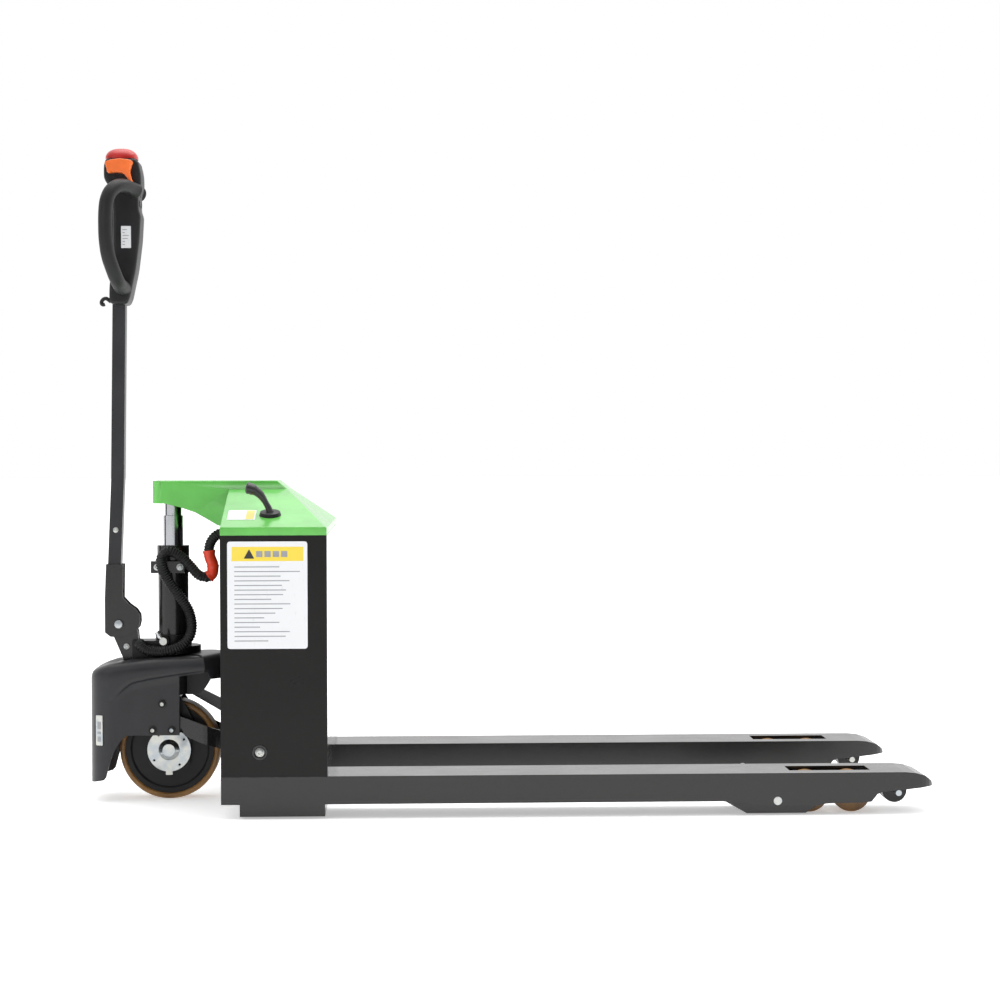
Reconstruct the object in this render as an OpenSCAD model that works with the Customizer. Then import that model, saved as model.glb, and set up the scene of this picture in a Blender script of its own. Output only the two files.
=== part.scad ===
// Electric pallet truck, lowered, wheels straight ahead, tiller upright.
// +X runs to the fork tips, +Y to the truck's left, +Z up. The origin is on the
// floor under the middle of the truck's bounding box. Millimetres.

/* [Forks] */
// Overall width across the two forks
truck_w = 685; // [600:5:720]
// Fork length from the back panel to the tips
fork_len = 1220; // [1100:10:1400]
// Width of one fork
fork_w = 150; // [146:2:180]
// Height of the fork tops above the floor when lowered
fork_top = 85; // [85:1:95]
// Depth of a fork's side walls
fork_depth = 56; // [52:1:62]
// Plate thickness of the forks
fork_t = 5; // [4:0.5:6]
// How far the forks rise
lift = 115; // [90:5:115]

/* [Box] */
// Length of the box behind the forks
box_len = 212; // [205:5:260]
// Height of the box's side plates above the floor
box_top = 565; // [540:5:600]
// Thickness of the side plates
side_t = 5; // [4:0.5:6]
// Height of the hood's ridge above the floor
hood_top = 670; // [665:5:700]
// Sheet thickness of the hood
hood_t = 4; // [3:0.5:5]
// Half the width of the hood's nose
nose_half = 76; // [70:2:90]

/* [Drive unit] */
// Distance from the back panel to the steering axis
steer_back = 335; // [335:5:360]
// Diameter of the drive wheel
wheel_d = 210; // [200:2:212]
// Width of the drive wheel's tread
wheel_w = 70; // [60:2:72]
// Thickness of the tread
tread_t = 12; // [8:1:16]
// Outer diameter of the lift cylinder
cyl_d = 63.5; // [60:0.5:66]
// Diameter of the chromed lift rod
rod_d = 42; // [36:1:44]
// Half the width of the drive cover
cover_half = 92; // [90:1:94]
// Sheet thickness of the drive cover
cover_t = 4; // [3:0.5:5]

/* [Tiller] */
// Height of the tiller's top above the floor
tiller_top = 1369; // [1250:1:1400]
// Height of the tiller pivot above the floor
pivot_z = 367; // [366:1:375]
// Distance from the steering axis forward to the tiller pivot
pivot_out = 113.5; // [113:0.5:118]
// Size of the tiller tube fore and aft
tube_x = 27; // [24:1:28]
// Size of the tiller tube across
tube_y = 34; // [30:1:34]
// Width of the head across its two grips
head_w = 260; // [240:5:300]

/* [Rollers] */
// Diameter of a load roller
roller_d = 80; // [76:1:80]
// Width of a load roller
roller_w = 62; // [50:1:62]
// Spacing of the two load rollers in a fork
roller_pitch = 86; // [84:1:90]
// Diameter of the entry roller in a fork's tip
entry_d = 50; // [44:1:52]

/* [Hidden] */
$fn = 64;

// Clearances
run = 0.05;   // radial running fit of a pin in its bore
gap = 0.3;    // gap between pieces that move past each other
deep = 400;   // longer than anything a cutting tool has to pass through

// Finishes
black = [0.10, 0.10, 0.11];
graphite = [0.25, 0.25, 0.27];
steel = [0.72, 0.73, 0.75];
green = [0.33, 0.72, 0.28];
amber = [0.55, 0.36, 0.12];
orange = [0.95, 0.42, 0.12];
red = [0.78, 0.10, 0.10];

// Places along X
front_over = steer_back + 168;
heel_x = (front_over - fork_len) / 2;
front_x = heel_x - front_over;
tip_x = heel_x + fork_len;
box_x = heel_x - box_len;
steer_x = heel_x - steer_back;
wheel_x = steer_x - 6;
pivot_x = steer_x - pivot_out;

// Places across
half_w = truck_w / 2;
fork_y = half_w - fork_w / 2;

// Places in height
wheel_r = wheel_d / 2;
fork_bottom = fork_top - fork_depth;
box_seat = fork_top - 1;

// Drive unit heights
crown_z0 = wheel_d + 3;
crown_z1 = crown_z0 + 6;
base_z0 = 290;
base_z1 = 345;
flange_z = 306;
stem_r = 25;
sleeve_r = 38;
link_z = 242;      // height of the trunnion that the lift linkage pushes from
link_pin_r = 5;
arm_y0 = 48;       // the rocker's front arm lies between these two
arm_y1 = 58;
gland_z = 503;
cyl_top = 533;
rod_shoulder = 596;
cheek_y0 = 42;     // the drive frame's cheeks lie between these two
cheek_y1 = 48;
flange_y1 = 54;
base_r = 38;
lug_front = steer_x - 84;

// Lift linkage
shaft_x = heel_x - 134.7;
shaft_z = 133;
shaft_r = 16;
shaft_tube_r = 22;
arm_run = shaft_x - steer_x;
arm_rise = link_z - shaft_z;
arm_rest = atan2(arm_rise, arm_run);
arm_turn = arm_rest - atan2(arm_rise - lift, arm_run);
lever_r = 84;
rod_travel = 2 * lever_r * sin(arm_turn / 2);

// Roller frames: the pivot is on the fork, the bogie pivot is at roller height
frame_x = tip_x - 319;
frame_z = fork_bottom;
roller_r = roller_d / 2;
bogie_x = tip_x - 206;
bogie_z = roller_r;
frame_r = norm([bogie_x - frame_x, bogie_z - frame_z]);
frame_rest = atan2(bogie_z - frame_z, bogie_x - frame_x);
frame_turn = frame_rest - asin((bogie_z - frame_z - lift) / frame_r);
rod_eye_r = rod_travel / 2 / sin(frame_turn / 2);
rod_eye_x = frame_x - rod_eye_r * sin(frame_turn / 2);
rod_eye_z = frame_z + rod_eye_r * cos(frame_turn / 2);
lever_x = shaft_x - lever_r * sin(arm_turn / 2);
lever_z = shaft_z - lever_r * cos(arm_turn / 2);
eye_r = 6;
entry_x = tip_x - 75;
entry_z = 43;

// Tiller head
head_z0 = tiller_top - 329;
head_z1 = tiller_top - 24;
throttle_x = pivot_x + 4;
throttle_z = tiller_top - 40;
head_half = 40;
button_x = pivot_x + 46;

// Hood
eave_z = box_top + 17;
roof_edge_z = hood_top - 17;
ridge_back = heel_x - 111;
nose_front = steer_x - 37;
rod_top = hood_top - hood_t;

// Isolator on the right-hand roof, square to the roof
roof_tilt = atan2(roof_edge_z - eave_z, half_w - nose_half);
isolator_x = heel_x - 116;
isolator_y = -262;
isolator_z = roof_edge_z - (-isolator_y - nose_half) * tan(roof_tilt);

// Loom routes, from the box to the pump, as points beside the lift cylinder
loom_r = 8;
loom_box_path = [for (p = [
    [123, -60, 560], [112, -60, 561], [100, -60, 558], [89, -60, 549], [82, -60, 536],
    [80, -60, 522], [83, -60, 508], [87, -60, 497], [88, -60, 488]]) p + [steer_x, 0, 0]];
loom_joint_path = [for (p = [
    [88, -60, 487], [88, -60, 480], [84, -60, 472], [77, -60, 468], [70, -60, 469]])
    p + [steer_x, 0, 0]];
loom_pump_path = [for (p = [
    [68.8, -60, 469.2], [62, -60, 470.8], [54, -60, 476.5], [46, -60, 486], [36, -59, 497],
    [24, -57, 508.5], [11, -56, 517.5], [-2, -55, 521.5], [-13, -55, 518], [-20, -56, 508],
    [-20, -58, 494], [-15, -58, 478], [-6, -57, 461], [5, -55, 445], [16, -53, 430],
    [27, -51, 414], [36, -50, 398], [41, -50, 381], [43, -54, 364], [40, -58, 347],
    [31, -62, 333], [18, -65, 323], [3, -67, 317], [-13, -66, 314], [-29, -62, 312],
    [-44, -57, 313], [-56, -52, 317], [-64, -47, 323], [-67, -41, 327], [-67, -34, 327]])
    p + [steer_x, 0, 0]];

// ---- Helpers ----

module slab(x0, x1, y0, y1, z0, z1) {
    translate([x0, y0, z0]) cube([x1 - x0, y1 - y0, z1 - z0]);
}

module ycyl(r, x, z, y0, y1) {
    translate([x, y1, z]) rotate([90, 0, 0]) cylinder(r = r, h = y1 - y0);
}

module xcyl(r, y, z, x0, x1) {
    translate([x0, y, z]) rotate([0, 90, 0]) cylinder(r = r, h = x1 - x0);
}

module zcyl(r, x, y, z0, z1) {
    translate([x, y, z0]) cylinder(r = r, h = z1 - z0);
}

// Children drawn in X and Z, standing between two values of Y
module upright(y0, y1) {
    translate([0, y1, 0]) rotate([90, 0, 0]) linear_extrude(y1 - y0) children();
}

// Children drawn in Y and Z, standing between two values of X
module crosswise(x0, x1) {
    translate([x0, 0, 0]) rotate([90, 0, 90]) linear_extrude(x1 - x0) children();
}

// A flat bar with round ends of two radii
module bar(p, r, q, s) {
    d = q - p;
    lean = atan2(d[1], d[0]);
    open = acos((r - s) / norm(d));
    translate(p) circle(r);
    translate(q) circle(s);
    polygon([
        p + r * [cos(lean + open), sin(lean + open)], p + r * [cos(lean - open), sin(lean - open)],
        q + s * [cos(lean - open), sin(lean - open)], q + s * [cos(lean + open), sin(lean + open)]
    ]);
}

// Points of an arc
function arc(c, r, a0, a1, n = 8) =
    [for (i = [0:n]) c + r * [cos(a0 + (a1 - a0) * i / n), sin(a0 + (a1 - a0) * i / n)]];

// A tube of oval section swept along a list of points
module swept(path, rx, ry, sides = 10) {
    n = len(path);
    function unit(v) = v / norm(v);
    function tangent(i) = unit(path[min(i + 1, n - 1)] - path[max(i - 1, 0)]);
    function across(i) = unit(cross(tangent(i), [0.02, 1, 0.03]));
    rings = [for (i = [0:n - 1]) let (a = across(i), b = cross(tangent(i), a))
        [for (k = [0:sides - 1]) path[i] + rx * cos(360 * k / sides) * a
            + ry * sin(360 * k / sides) * b]];
    polyhedron(
        [for (ring = rings) each ring],
        concat(
            [[for (k = [0:sides - 1]) k]],
            [for (i = [0:n - 2]) for (k = [0:sides - 1]) let (l = (k + 1) % sides)
                [i * sides + k, (i + 1) * sides + k, (i + 1) * sides + l, i * sides + l]],
            [[for (k = [sides - 1:-1:0]) (n - 1) * sides + k]]
        ),
        4
    );
}

// ---- Swivel: the piece that neither steers nor lifts ----

module swivel_sleeve() {
    boss_r = 10;
    color(graphite) {
        difference() {
            union() {
                zcyl(sleeve_r, steer_x, 0, crown_z1 + gap, base_z0 - gap);
                ycyl(boss_r, steer_x, link_z, 0, arm_y0 - gap);
                // rear lobe, rounded to turn inside the cover
                intersection() {
                    upright(-30, 30) polygon([
                        [steer_x + 30, base_z0 - 4], [steer_x + 84, base_z0 - 4],
                        [steer_x + 80, 268], [steer_x + 75, 244], [steer_x + 65, 228],
                        [steer_x + 50, crown_z1 + gap], [steer_x + 30, crown_z1 + gap]
                    ]);
                    zcyl(cover_half - cover_t - 2, steer_x, 0, crown_z1, base_z0);
                }
            }
            zcyl(stem_r + run, steer_x, 0, crown_z0, base_z1);
        }
        ycyl(link_pin_r, steer_x, link_z, sleeve_r - 2, arm_y1 + 3);
        ycyl(link_pin_r + 3, steer_x, link_z, arm_y1 + gap, arm_y1 + 4);
    }
}

module loom_joint() {
    color("orangered") swept(loom_joint_path, loom_r, loom_r);
}

// ---- Drive unit ----

// Places of the three bolts that hold the cover, from the steering axis
cover_bolt_at = [[-17.5, 204.7], [-37.5, 149.7], [2, 149.7]];
cover_bolt_r = 4;

module cheek_outline() {
    polygon([
        [-16, crown_z1], [16, crown_z1], [28, 200], [42, 172], [36, 74], [20, 62],
        [-32, 62], [-48, 74], [-54, 172], [-28, 205]
    ]);
}

module drive_frame() {
    stand_r = 8;
    color(black) difference() {
        union() {
            zcyl(stem_r, steer_x, 0, crown_z1, base_z0);
            slab(steer_x - 16, steer_x + 16, -cheek_y1, cheek_y1, crown_z0, crown_z1);
            translate([steer_x, 0, 0]) for (y = [-cheek_y1, cheek_y0])
                upright(y, y + cheek_y1 - cheek_y0) cheek_outline();
            for (p = cover_bolt_at)
                ycyl(stand_r, steer_x + p[0], p[1], -cover_half + cover_t, -cheek_y0 - 1);
        }
        ycyl(12 + run, wheel_x, wheel_r, -deep, deep);
        for (p = cover_bolt_at)
            ycyl(cover_bolt_r + run, steer_x + p[0], p[1], -deep, 0);
    }
}

module mast_base() {
    color(black) difference() {
        union() {
            zcyl(base_r, steer_x, 0, base_z0, base_z1);
            zcyl(57.5, steer_x, 0, flange_z, flange_z + 16);
            slab(lug_front, steer_x, -34, 34, base_z0, base_z1 - 12);
            ycyl(11, steer_x - 16, 334, -50, -20);
        }
        zcyl(cyl_d / 2 - 5, steer_x, 0, base_z1 - 6, base_z1 + 1);
    }
}

module lift_cylinder() {
    gland_r = cyl_d / 2 + 2;
    bore_r = cyl_d / 2 - 5;
    color(black) {
        difference() {
            zcyl(cyl_d / 2, steer_x, 0, base_z1, gland_z);
            zcyl(bore_r, steer_x, 0, base_z1 - 1, gland_z + 1);
        }
        difference() {
            zcyl(gland_r, steer_x, 0, gland_z, cyl_top);
            zcyl(rod_d / 2 + run, steer_x, 0, gland_z - 1, cyl_top + 1);
        }
    }
}

// Places of the two clamp screws, from the steering axis
clamp_screw_at = [-30, 18];
clamp_z0 = 476;
clamp_z1 = 501;

module cylinder_clamp() {
    ring_r = cyl_d / 2 + 6;
    mid_z = (clamp_z0 + clamp_z1) / 2;
    color(black) difference() {
        union() {
            zcyl(ring_r, steer_x, 0, clamp_z0, clamp_z1);
            slab(steer_x - 43, steer_x + 27, -46, -32, clamp_z0, clamp_z1);
        }
        zcyl(cyl_d / 2 + run, steer_x, 0, clamp_z0 - 1, clamp_z1 + 1);
        slab(steer_x - 2, steer_x + 2, 0, ring_r + 1, clamp_z0 - 1, clamp_z1 + 1);
        for (x = clamp_screw_at)
            ycyl(3 + run, steer_x + x, mid_z, -deep, -38);
    }
}

module drive_unit_screws() {
    color(steel) {
        for (p = cover_bolt_at) {
            ycyl(cover_bolt_r, steer_x + p[0], p[1], -cover_half, -cheek_y0);
            ycyl(6.5, steer_x + p[0], p[1], -cover_half - 4, -cover_half);
        }
        for (x = clamp_screw_at) {
            ycyl(3, steer_x + x, (clamp_z0 + clamp_z1) / 2, -46, -38.5);
            ycyl(5.5, steer_x + x, (clamp_z0 + clamp_z1) / 2, -50, -46);
        }
    }
}

module hydraulic_fitting() {
    color(steel) {
        ycyl(8, steer_x - 16, 334, -66, -50);
        translate([steer_x - 16, -58, 334]) rotate([0, -35, 0]) {
            cylinder(r = 5.5, h = 24);
            translate([0, 0, 10]) cylinder(r = 7.5, h = 7);
        }
    }
}

// Two plates between the bracket's cheeks, on a foot in front of the mast base
module tiller_lug() {
    lug_y1 = tube_y / 2 - gap;
    lug_y0 = lug_y1 - 6;
    front = lug_front - pivot_x;
    foot = base_z0 + 2 - pivot_z;
    shelf = base_z1 - 12 + gap - pivot_z;
    color(black) {
        translate([pivot_x, 0, pivot_z]) for (y = [-lug_y1, lug_y0]) difference() {
            upright(y, y + lug_y1 - lug_y0) {
                circle(r = 20);
                polygon([[-14, -14], [-11, -26], [10, foot], [front, foot], [front, shelf],
                    [front + 12, shelf], [front + 10, -14], [14, 14]]);
            }
            ycyl(8 + run, 0, 0, -deep, deep);
        }
        slab(lug_front - 18, lug_front, -lug_y0, lug_y0, pivot_z + foot, pivot_z + shelf);
    }
}

module tiller_pin() {
    color(steel) {
        cheek = tube_y / 2 + 3.4 + gap;
        ycyl(8, pivot_x, pivot_z, -cheek, cheek);
        for (y = [-cheek - 3, cheek]) ycyl(10.5, pivot_x, pivot_z, y, y + 3);
    }
}

module tiller_spring() {
    turns = 5;
    steps = 12;
    wire_r = 1.6;
    coil_r = 8 + gap + wire_r;
    coil = [for (i = [0:turns * steps])
        [pivot_x + coil_r * cos(360 * i / steps), -8.5 + 17 * i / (turns * steps),
            pivot_z + coil_r * sin(360 * i / steps)]];
    color(steel) swept(coil, wire_r, wire_r, 6);
}

// A folded channel: two cheeks round the pivot pin and one wall behind the tube
module tiller_bracket() {
    y_in = tube_y / 2 + 0.2;
    y_out = tube_y / 2 + 3.4;
    wall_foot = 12;
    color(black) difference() {
        translate([pivot_x, 0, pivot_z]) upright(-y_out, y_out) polygon([
            [-26, 127], [10, 127], [9, 56], [22, 42], [36, 32], [44, 20], [45, 6], [42, -7],
            [34, -15], [18, -24], [0, -27], [-18, -26], [-29, -17], [-29, 54]
        ]);
        translate([pivot_x, 0, pivot_z]) upright(-y_in, y_in) polygon([
            [-22.5, 130], [-25.3, 60], [-25.3, wall_foot], [-40, wall_foot], [-40, -40],
            [60, -40], [60, 130]
        ]);
        ycyl(8 + run, pivot_x, pivot_z, -deep, deep);
    }
}

// ---- Drive cover ----

cover_top_front = base_z0 - 2;
cover_top_back = base_z0 + 19;
cover_back = steer_x + 111;

// Side view of the cover, drawn in by the sheet thickness t
module cover_side(t) {
    corner = 42;
    x0 = front_x + t;
    z1 = cover_top_front - t;
    polygon(concat(
        [[x0, 20], [x0, 60]],
        arc([front_x + 4 + corner, cover_top_front - corner], corner - t, 180, 95),
        [[cover_back - t, cover_top_back - t], [cover_back - t, 20]]
    ));
}

// Top view of the cover, drawn in by the sheet thickness t
module cover_plan(t) {
    corner = 45;
    w = cover_half;
    intersection() {
        polygon(concat(
            arc([front_x + corner, w - corner], corner - t, 180, 90),
            [[cover_back, w - t], [cover_back, -w + t]],
            arc([front_x + corner, corner - w], corner - t, 270, 180)
        ));
        union() {
            translate([front_x - 1, -deep / 2]) square([steer_x - front_x, deep]);
            translate([steer_x, 0]) circle(r = 117 - t, $fn = 96);
        }
    }
}

module cover_form(t) {
    intersection() {
        upright(-deep / 2, deep / 2) cover_side(t);
        linear_extrude(deep) cover_plan(t);
    }
}

// What is open on the right-hand side, round the wheel and behind the panel
module cover_side_opening() {
    polygon([
        [front_x - 2, 0], [front_x - 2, 38], [front_x + 32, 38], [steer_x - 120, 95],
        [steer_x - 100, 134], [steer_x - 92, 138], [steer_x + 19, 138], [steer_x + 19, 270],
        [steer_x + 76, 281], [steer_x + 80, 254], [steer_x + 140, 254], [steer_x + 140, 0]
    ]);
}

// The left-hand side ends at the front skirt, to clear the lift linkage when steered
module cover_left_opening() {
    polygon([
        [front_x - 2, 0], [front_x - 2, 38], [front_x + 32, 38], [steer_x - 120, 95],
        [steer_x - 100, 134], [steer_x - 64, 150], [steer_x - 64, 262],
        [steer_x + 76, 281], [steer_x + 140, 281], [steer_x + 140, 0]
    ]);
}

module drive_cover() {
    color(graphite) difference() {
        cover_form(0);
        cover_form(cover_t);
        upright(-deep, 0) cover_side_opening();
        upright(0, deep) cover_left_opening();
        zcyl(base_r + gap, steer_x, 0, 200, deep);
        slab(lug_front - 26, steer_x, -34 - gap, 34 + gap, 200, deep);
        for (p = cover_bolt_at)
            ycyl(cover_bolt_r + run, steer_x + p[0], p[1], -deep, 0);
    }
}

module motor_flanges() {
    disc_r = 45.5;
    flat_at = 36.5;      // the disc's top is cut off here, under the cover's panel
    module flange() {
        linear_extrude(flange_y1 - cheek_y1) difference() {
            union() {
                circle(r = disc_r);
                translate([-7, -disc_r - 7]) square([14, 20]);
            }
            for (a = [35, 125, 215, 305]) rotate(a) translate([38, 0]) circle(r = 2.5);
            translate([-disc_r, flat_at]) square([2 * disc_r, disc_r]);
        }
        translate([0, 0, flange_y1 - cheek_y1]) cylinder(r1 = 22, r2 = 13, h = 9);
    }
    color(steel) translate([wheel_x, 0, wheel_r]) {
        translate([0, -cheek_y1, 0]) rotate([90, 0, 0]) flange();
        translate([0, cheek_y1, 0]) rotate([90, 0, 180]) flange();
    }
}

module drive_axle() {
    color(steel) ycyl(12, wheel_x, wheel_r, -cheek_y1, cheek_y1);
}

module motor_stator() {
    color(steel) difference() {
        ycyl(68, wheel_x, wheel_r, -22, 22);
        ycyl(12 + run, wheel_x, wheel_r, -30, 30);
    }
}

module rear_guard() {
    w = 74;
    back = 112;
    corner = 45;
    t = 4;
    module plan(inset) {
        polygon(concat(
            [[12, w - inset]],
            arc([back - corner, w - corner], corner - inset, 90, 0),
            arc([back - corner, corner - w], corner - inset, 0, -90),
            [[12, inset - w]]
        ));
    }
    color(black) translate([steer_x, 0, 0]) intersection() {
        union() {
            linear_extrude(deep) difference() {
                plan(0);
                plan(t);
            }
            linear_extrude(deep) for (m = [0, 1]) mirror([0, m]) translate([14, cheek_y1])
                square([8, w - cheek_y1 - t + 1]);
        }
        upright(-deep, deep) polygon([
            [10, 178], [18, 178], [35, 172], [back, 142], [back + 5, 136], [back + 5, 104],
            [back, 104], [60, 122], [30, 136], [22, 152], [10, 152]
        ]);
    }
}

module loom_pump() {
    color(black) swept(loom_pump_path, loom_r, loom_r);
}

// ---- Drive wheel ----

hub_r = wheel_r - tread_t;
cavity_r = 72;
cavity_y = 26;
hub_y = wheel_w / 2 - 2;
bearing_r = 20;

// A ring about the wheel's axle, drawn as radius and Y
module about_axle() {
    translate([wheel_x, 0, wheel_r]) rotate([90, 0, 0]) rotate_extrude($fn = 128) children();
}

module drive_tyre() {
    w = wheel_w / 2;
    color(amber) about_axle() polygon(concat(
        [[hub_r, -w + 3], [hub_r + 3, -w]],
        arc([wheel_r - 5, -w + 5], 5, -90, 0, 5),
        arc([wheel_r - 5, w - 5], 5, 0, 90, 5),
        [[hub_r + 3, w], [hub_r, w - 3]]
    ));
}

module wheel_hub() {
    color(black) about_axle() polygon([
        [bearing_r, -hub_y], [bearing_r + 12, -hub_y], [bearing_r + 16, -hub_y + 3],
        [hub_r - 14, -hub_y + 3], [hub_r - 10, -hub_y], [hub_r, -hub_y],
        [hub_r, hub_y], [hub_r - 10, hub_y], [hub_r - 14, hub_y - 3],
        [bearing_r + 16, hub_y - 3], [bearing_r + 12, hub_y], [bearing_r, hub_y],
        [bearing_r, cavity_y], [cavity_r, cavity_y], [cavity_r, -cavity_y], [bearing_r, -cavity_y]
    ]);
}

module wheel_bearings() {
    color(steel) for (y = [-hub_y, cavity_y]) difference() {
        ycyl(bearing_r, wheel_x, wheel_r, y, y + hub_y - cavity_y);
        ycyl(12 + run, wheel_x, wheel_r, -deep, deep);
    }
}

// ---- Tiller ----

tube_foot = pivot_z + 60;
tube_bend = pivot_z + 304;

tube_head = head_z0 + 60;

// Side view of the leaning tube, drawn in by t
module tube_side(t) {
    x = tube_x / 2 - t;
    polygon([
        [pivot_x - 11.5 - x, tube_foot], [pivot_x - 1.2 - x, tube_bend],
        [pivot_x + 4.8 - x, tube_head], [pivot_x + 4.8 + x, tube_head],
        [pivot_x - 1.2 + x, tube_bend], [pivot_x - 11.5 + x, tube_foot]
    ]);
}

module tiller_tube() {
    wall = 3;
    color(graphite) difference() {
        upright(-tube_y / 2, tube_y / 2) tube_side(0);
        upright(-tube_y / 2 + wall, tube_y / 2 - wall) tube_side(wall);
    }
}

// Side view of the head's middle
module head_outline() {
    polygon(concat(
        [[pivot_x - 13, head_z0], [pivot_x + 27, head_z0], [pivot_x + 38, head_z0 + 70],
            [pivot_x + 48, head_z0 + 150], [button_x + 4, head_z0 + 185]],
        [[button_x, head_z0 + 200], [button_x, head_z0 + 245], [button_x + 4, head_z0 + 255]],
        [[pivot_x + 42, head_z1 - 6], [pivot_x + 36, head_z1], [pivot_x - 20, head_z1]],
        [[pivot_x - 24, head_z1 - 30], [pivot_x - 12, head_z1 - 60], [pivot_x - 4, head_z0 + 200],
            [pivot_x - 4, head_z0 + 110], [pivot_x - 14, head_z0 + 30]]
    ));
}

button_at = [
    [0, head_z0 + 234, 8],
    [-16, head_z0 + 212, 7],
    [16, head_z0 + 212, 7]
];
button_travel = 3;

module head_housing() {
    color(black) difference() {
        upright(-head_half, head_half) head_outline();
        upright(-tube_y / 2 - 0.2, tube_y / 2 + 0.2) tube_side(-0.2);
        ycyl(5 + run, throttle_x, throttle_z, -deep, deep);
        for (b = button_at)
            xcyl(b[2] + gap, b[0], b[1], button_x - 8, button_x + 20);
        slab(pivot_x - 12 - gap, pivot_x + 24 + gap, -24 - gap, 24 + gap, head_z1 - 12, head_z1 + 1);
    }
}

// A grip loop from the head's top side down to its foot, on the side s
module grip(s) {
    w = head_w / 2 - 16;
    path = [for (p = [
        [0, head_half - 4, 243], [-1, head_half + 12, 245], [-3, w - 32, 244], [-6, w - 15, 235],
        [-9, w - 4, 217], [-11, w, 195], [-12, w, 165], [-11, w, 130], [-7, w - 3, 98],
        [1, w - 12, 70], [8, w - 26, 49], [13, head_half + 14, 37], [15, head_half - 4, 33]])
        [pivot_x + p[0], s * p[1], head_z0 + p[2]]];
    difference() {
        swept(path, 15, 14, 12);
        upright(-head_half - 0.05, head_half + 0.05) head_outline();
    }
}

module grip_left() {
    color(black) grip(1);
}

module grip_right() {
    color(black) grip(-1);
}

belly_travel = 6;

module belly_button() {
    color(red) {
        intersection() {
            translate([pivot_x + 8, 0, tiller_top - 90]) rotate([90, 0, 0])
                cylinder(r = 90, h = 2 * head_half - 8, center = true, $fn = 128);
            slab(pivot_x - 26, pivot_x + 42, -deep, deep, head_z1 + belly_travel + 0.5, tiller_top + 1);
        }
        slab(pivot_x - 12, pivot_x + 24, -24, 24, head_z1 - 5, head_z1 + belly_travel + 1);
    }
}

module throttle_rocker() {
    y0 = head_half + gap;
    y1 = head_half + 24;
    color(orange) {
        ycyl(5, throttle_x, throttle_z, -y1 + 1, y1 - 1);
        for (y = [-y1, y0]) difference() {
            upright(y, y + y1 - y0) polygon(concat(
                [[throttle_x - 27, throttle_z + 14], [throttle_x - 16, throttle_z - 4],
                    [throttle_x - 18, throttle_z - 15]],
                arc([throttle_x, throttle_z - 30], 17, 120, 50, 5),
                [[throttle_x + 23, throttle_z - 30], [throttle_x + 28, throttle_z - 28],
                    [throttle_x + 17, throttle_z - 12], [throttle_x + 23, throttle_z + 14]],
                arc([throttle_x - 2, throttle_z - 20], 40, 60, 120, 5)
            ));
            ycyl(2, throttle_x, throttle_z, -deep, deep);
        }
    }
}

module push_button(i) {
    b = button_at[i];
    xcyl(b[2], b[0], b[1], button_x - 8 + button_travel + gap, button_x + 4);
}

module horn_button() {
    color(graphite) push_button(0);
}

module lift_button() {
    color(graphite) push_button(1);
}

module lower_button() {
    color(graphite) push_button(2);
}

// ---- Forks ----

slot_half = 34;

// Side view of a fork, drawn in by t at the top
module fork_side(t) {
    rise = 45;
    polygon(concat(
        [[box_x - t, fork_bottom], [box_x - t, box_seat - t], [heel_x, box_seat - t],
            [heel_x, fork_top - t], [tip_x - 62, fork_top - t]],
        [[tip_x - 40, fork_top - 2 - t], [tip_x - 20, fork_top - 8 - t],
            [tip_x - 6 - t / 2, fork_top - 19 - t], [tip_x - t, fork_top - 29 - t / 3]],
        t > 0 ? [[tip_x - t, 0]] : [[tip_x, 55], [tip_x - 14, 55], [tip_x - 60, rise + 5],
            [tip_x - 109, rise], [tip_x - 118, rise - 4], [tip_x - 130, 26], [tip_x - 158, 24],
            [tip_x - 200, 24], [tip_x - 222, 23], [tip_x - 240, 19], [tip_x - 340, 19],
            [tip_x - 430, fork_bottom]],
        t > 0 ? [[box_x - t, 0]] : []
    ));
}

module fork_plan(t) {
    r = 38 - t;
    w = fork_w / 2 - t;
    polygon(concat(
        [[box_x - t, w], [box_x - t, -w]],
        arc([tip_x - t - r, r - w], r, -90, 0, 6),
        arc([tip_x - t - r, w - r], r, 0, 90, 6)
    ));
}

module fork() {
    difference() {
        intersection() {
            upright(-fork_w, fork_w) fork_side(0);
            linear_extrude(deep) fork_plan(0);
        }
        intersection() {
            upright(-fork_w, fork_w) fork_side(fork_t);
            linear_extrude(deep) fork_plan(fork_t);
        }
        slab(tip_x - 290, tip_x - 126, -slot_half, slot_half, 0, deep);
        slab(shaft_x - 60, shaft_x + 50, -22, 22, fork_bottom, deep);
        ycyl(8.5 + run, frame_x, frame_z, -deep, deep);
        ycyl(6 + run, entry_x, entry_z, -deep, deep);
    }
    // runners that guard the load rollers and lead the forks over a pallet's boards
    for (y = [-fork_w / 2 + fork_t, fork_w / 2 - fork_t - 6]) difference() {
        upright(y, y + 6) polygon([
            [tip_x - 424, fork_bottom + 12], [tip_x - 424, fork_bottom - 1], [tip_x - 381, 4],
            [tip_x - 262, 4], [tip_x - 238, 20], [tip_x - 238, 42], [tip_x - 400, 42]
        ]);
        ycyl(8.5 + run, frame_x, frame_z, -deep, deep);
    }
    upright(-fork_w / 2 + fork_t + 6, fork_w / 2 - fork_t - 6) polygon([
        [tip_x - 424, fork_bottom + 12], [tip_x - 424, fork_bottom - 1], [tip_x - 381, 4],
        [tip_x - 374, 4], [tip_x - 374, 8], [tip_x - 379, 8], [tip_x - 418, fork_bottom + 3],
        [tip_x - 418, fork_bottom + 12]
    ]);
    // heel skid under the box
    slab(heel_x - 175, heel_x - 5, -fork_w / 2, fork_w / 2, 5, fork_bottom);
}

module fork_left() {
    color(black) translate([0, fork_y, 0]) fork();
}

module fork_right() {
    color(black) translate([0, -fork_y, 0]) fork();
}

// ---- Box ----

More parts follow.
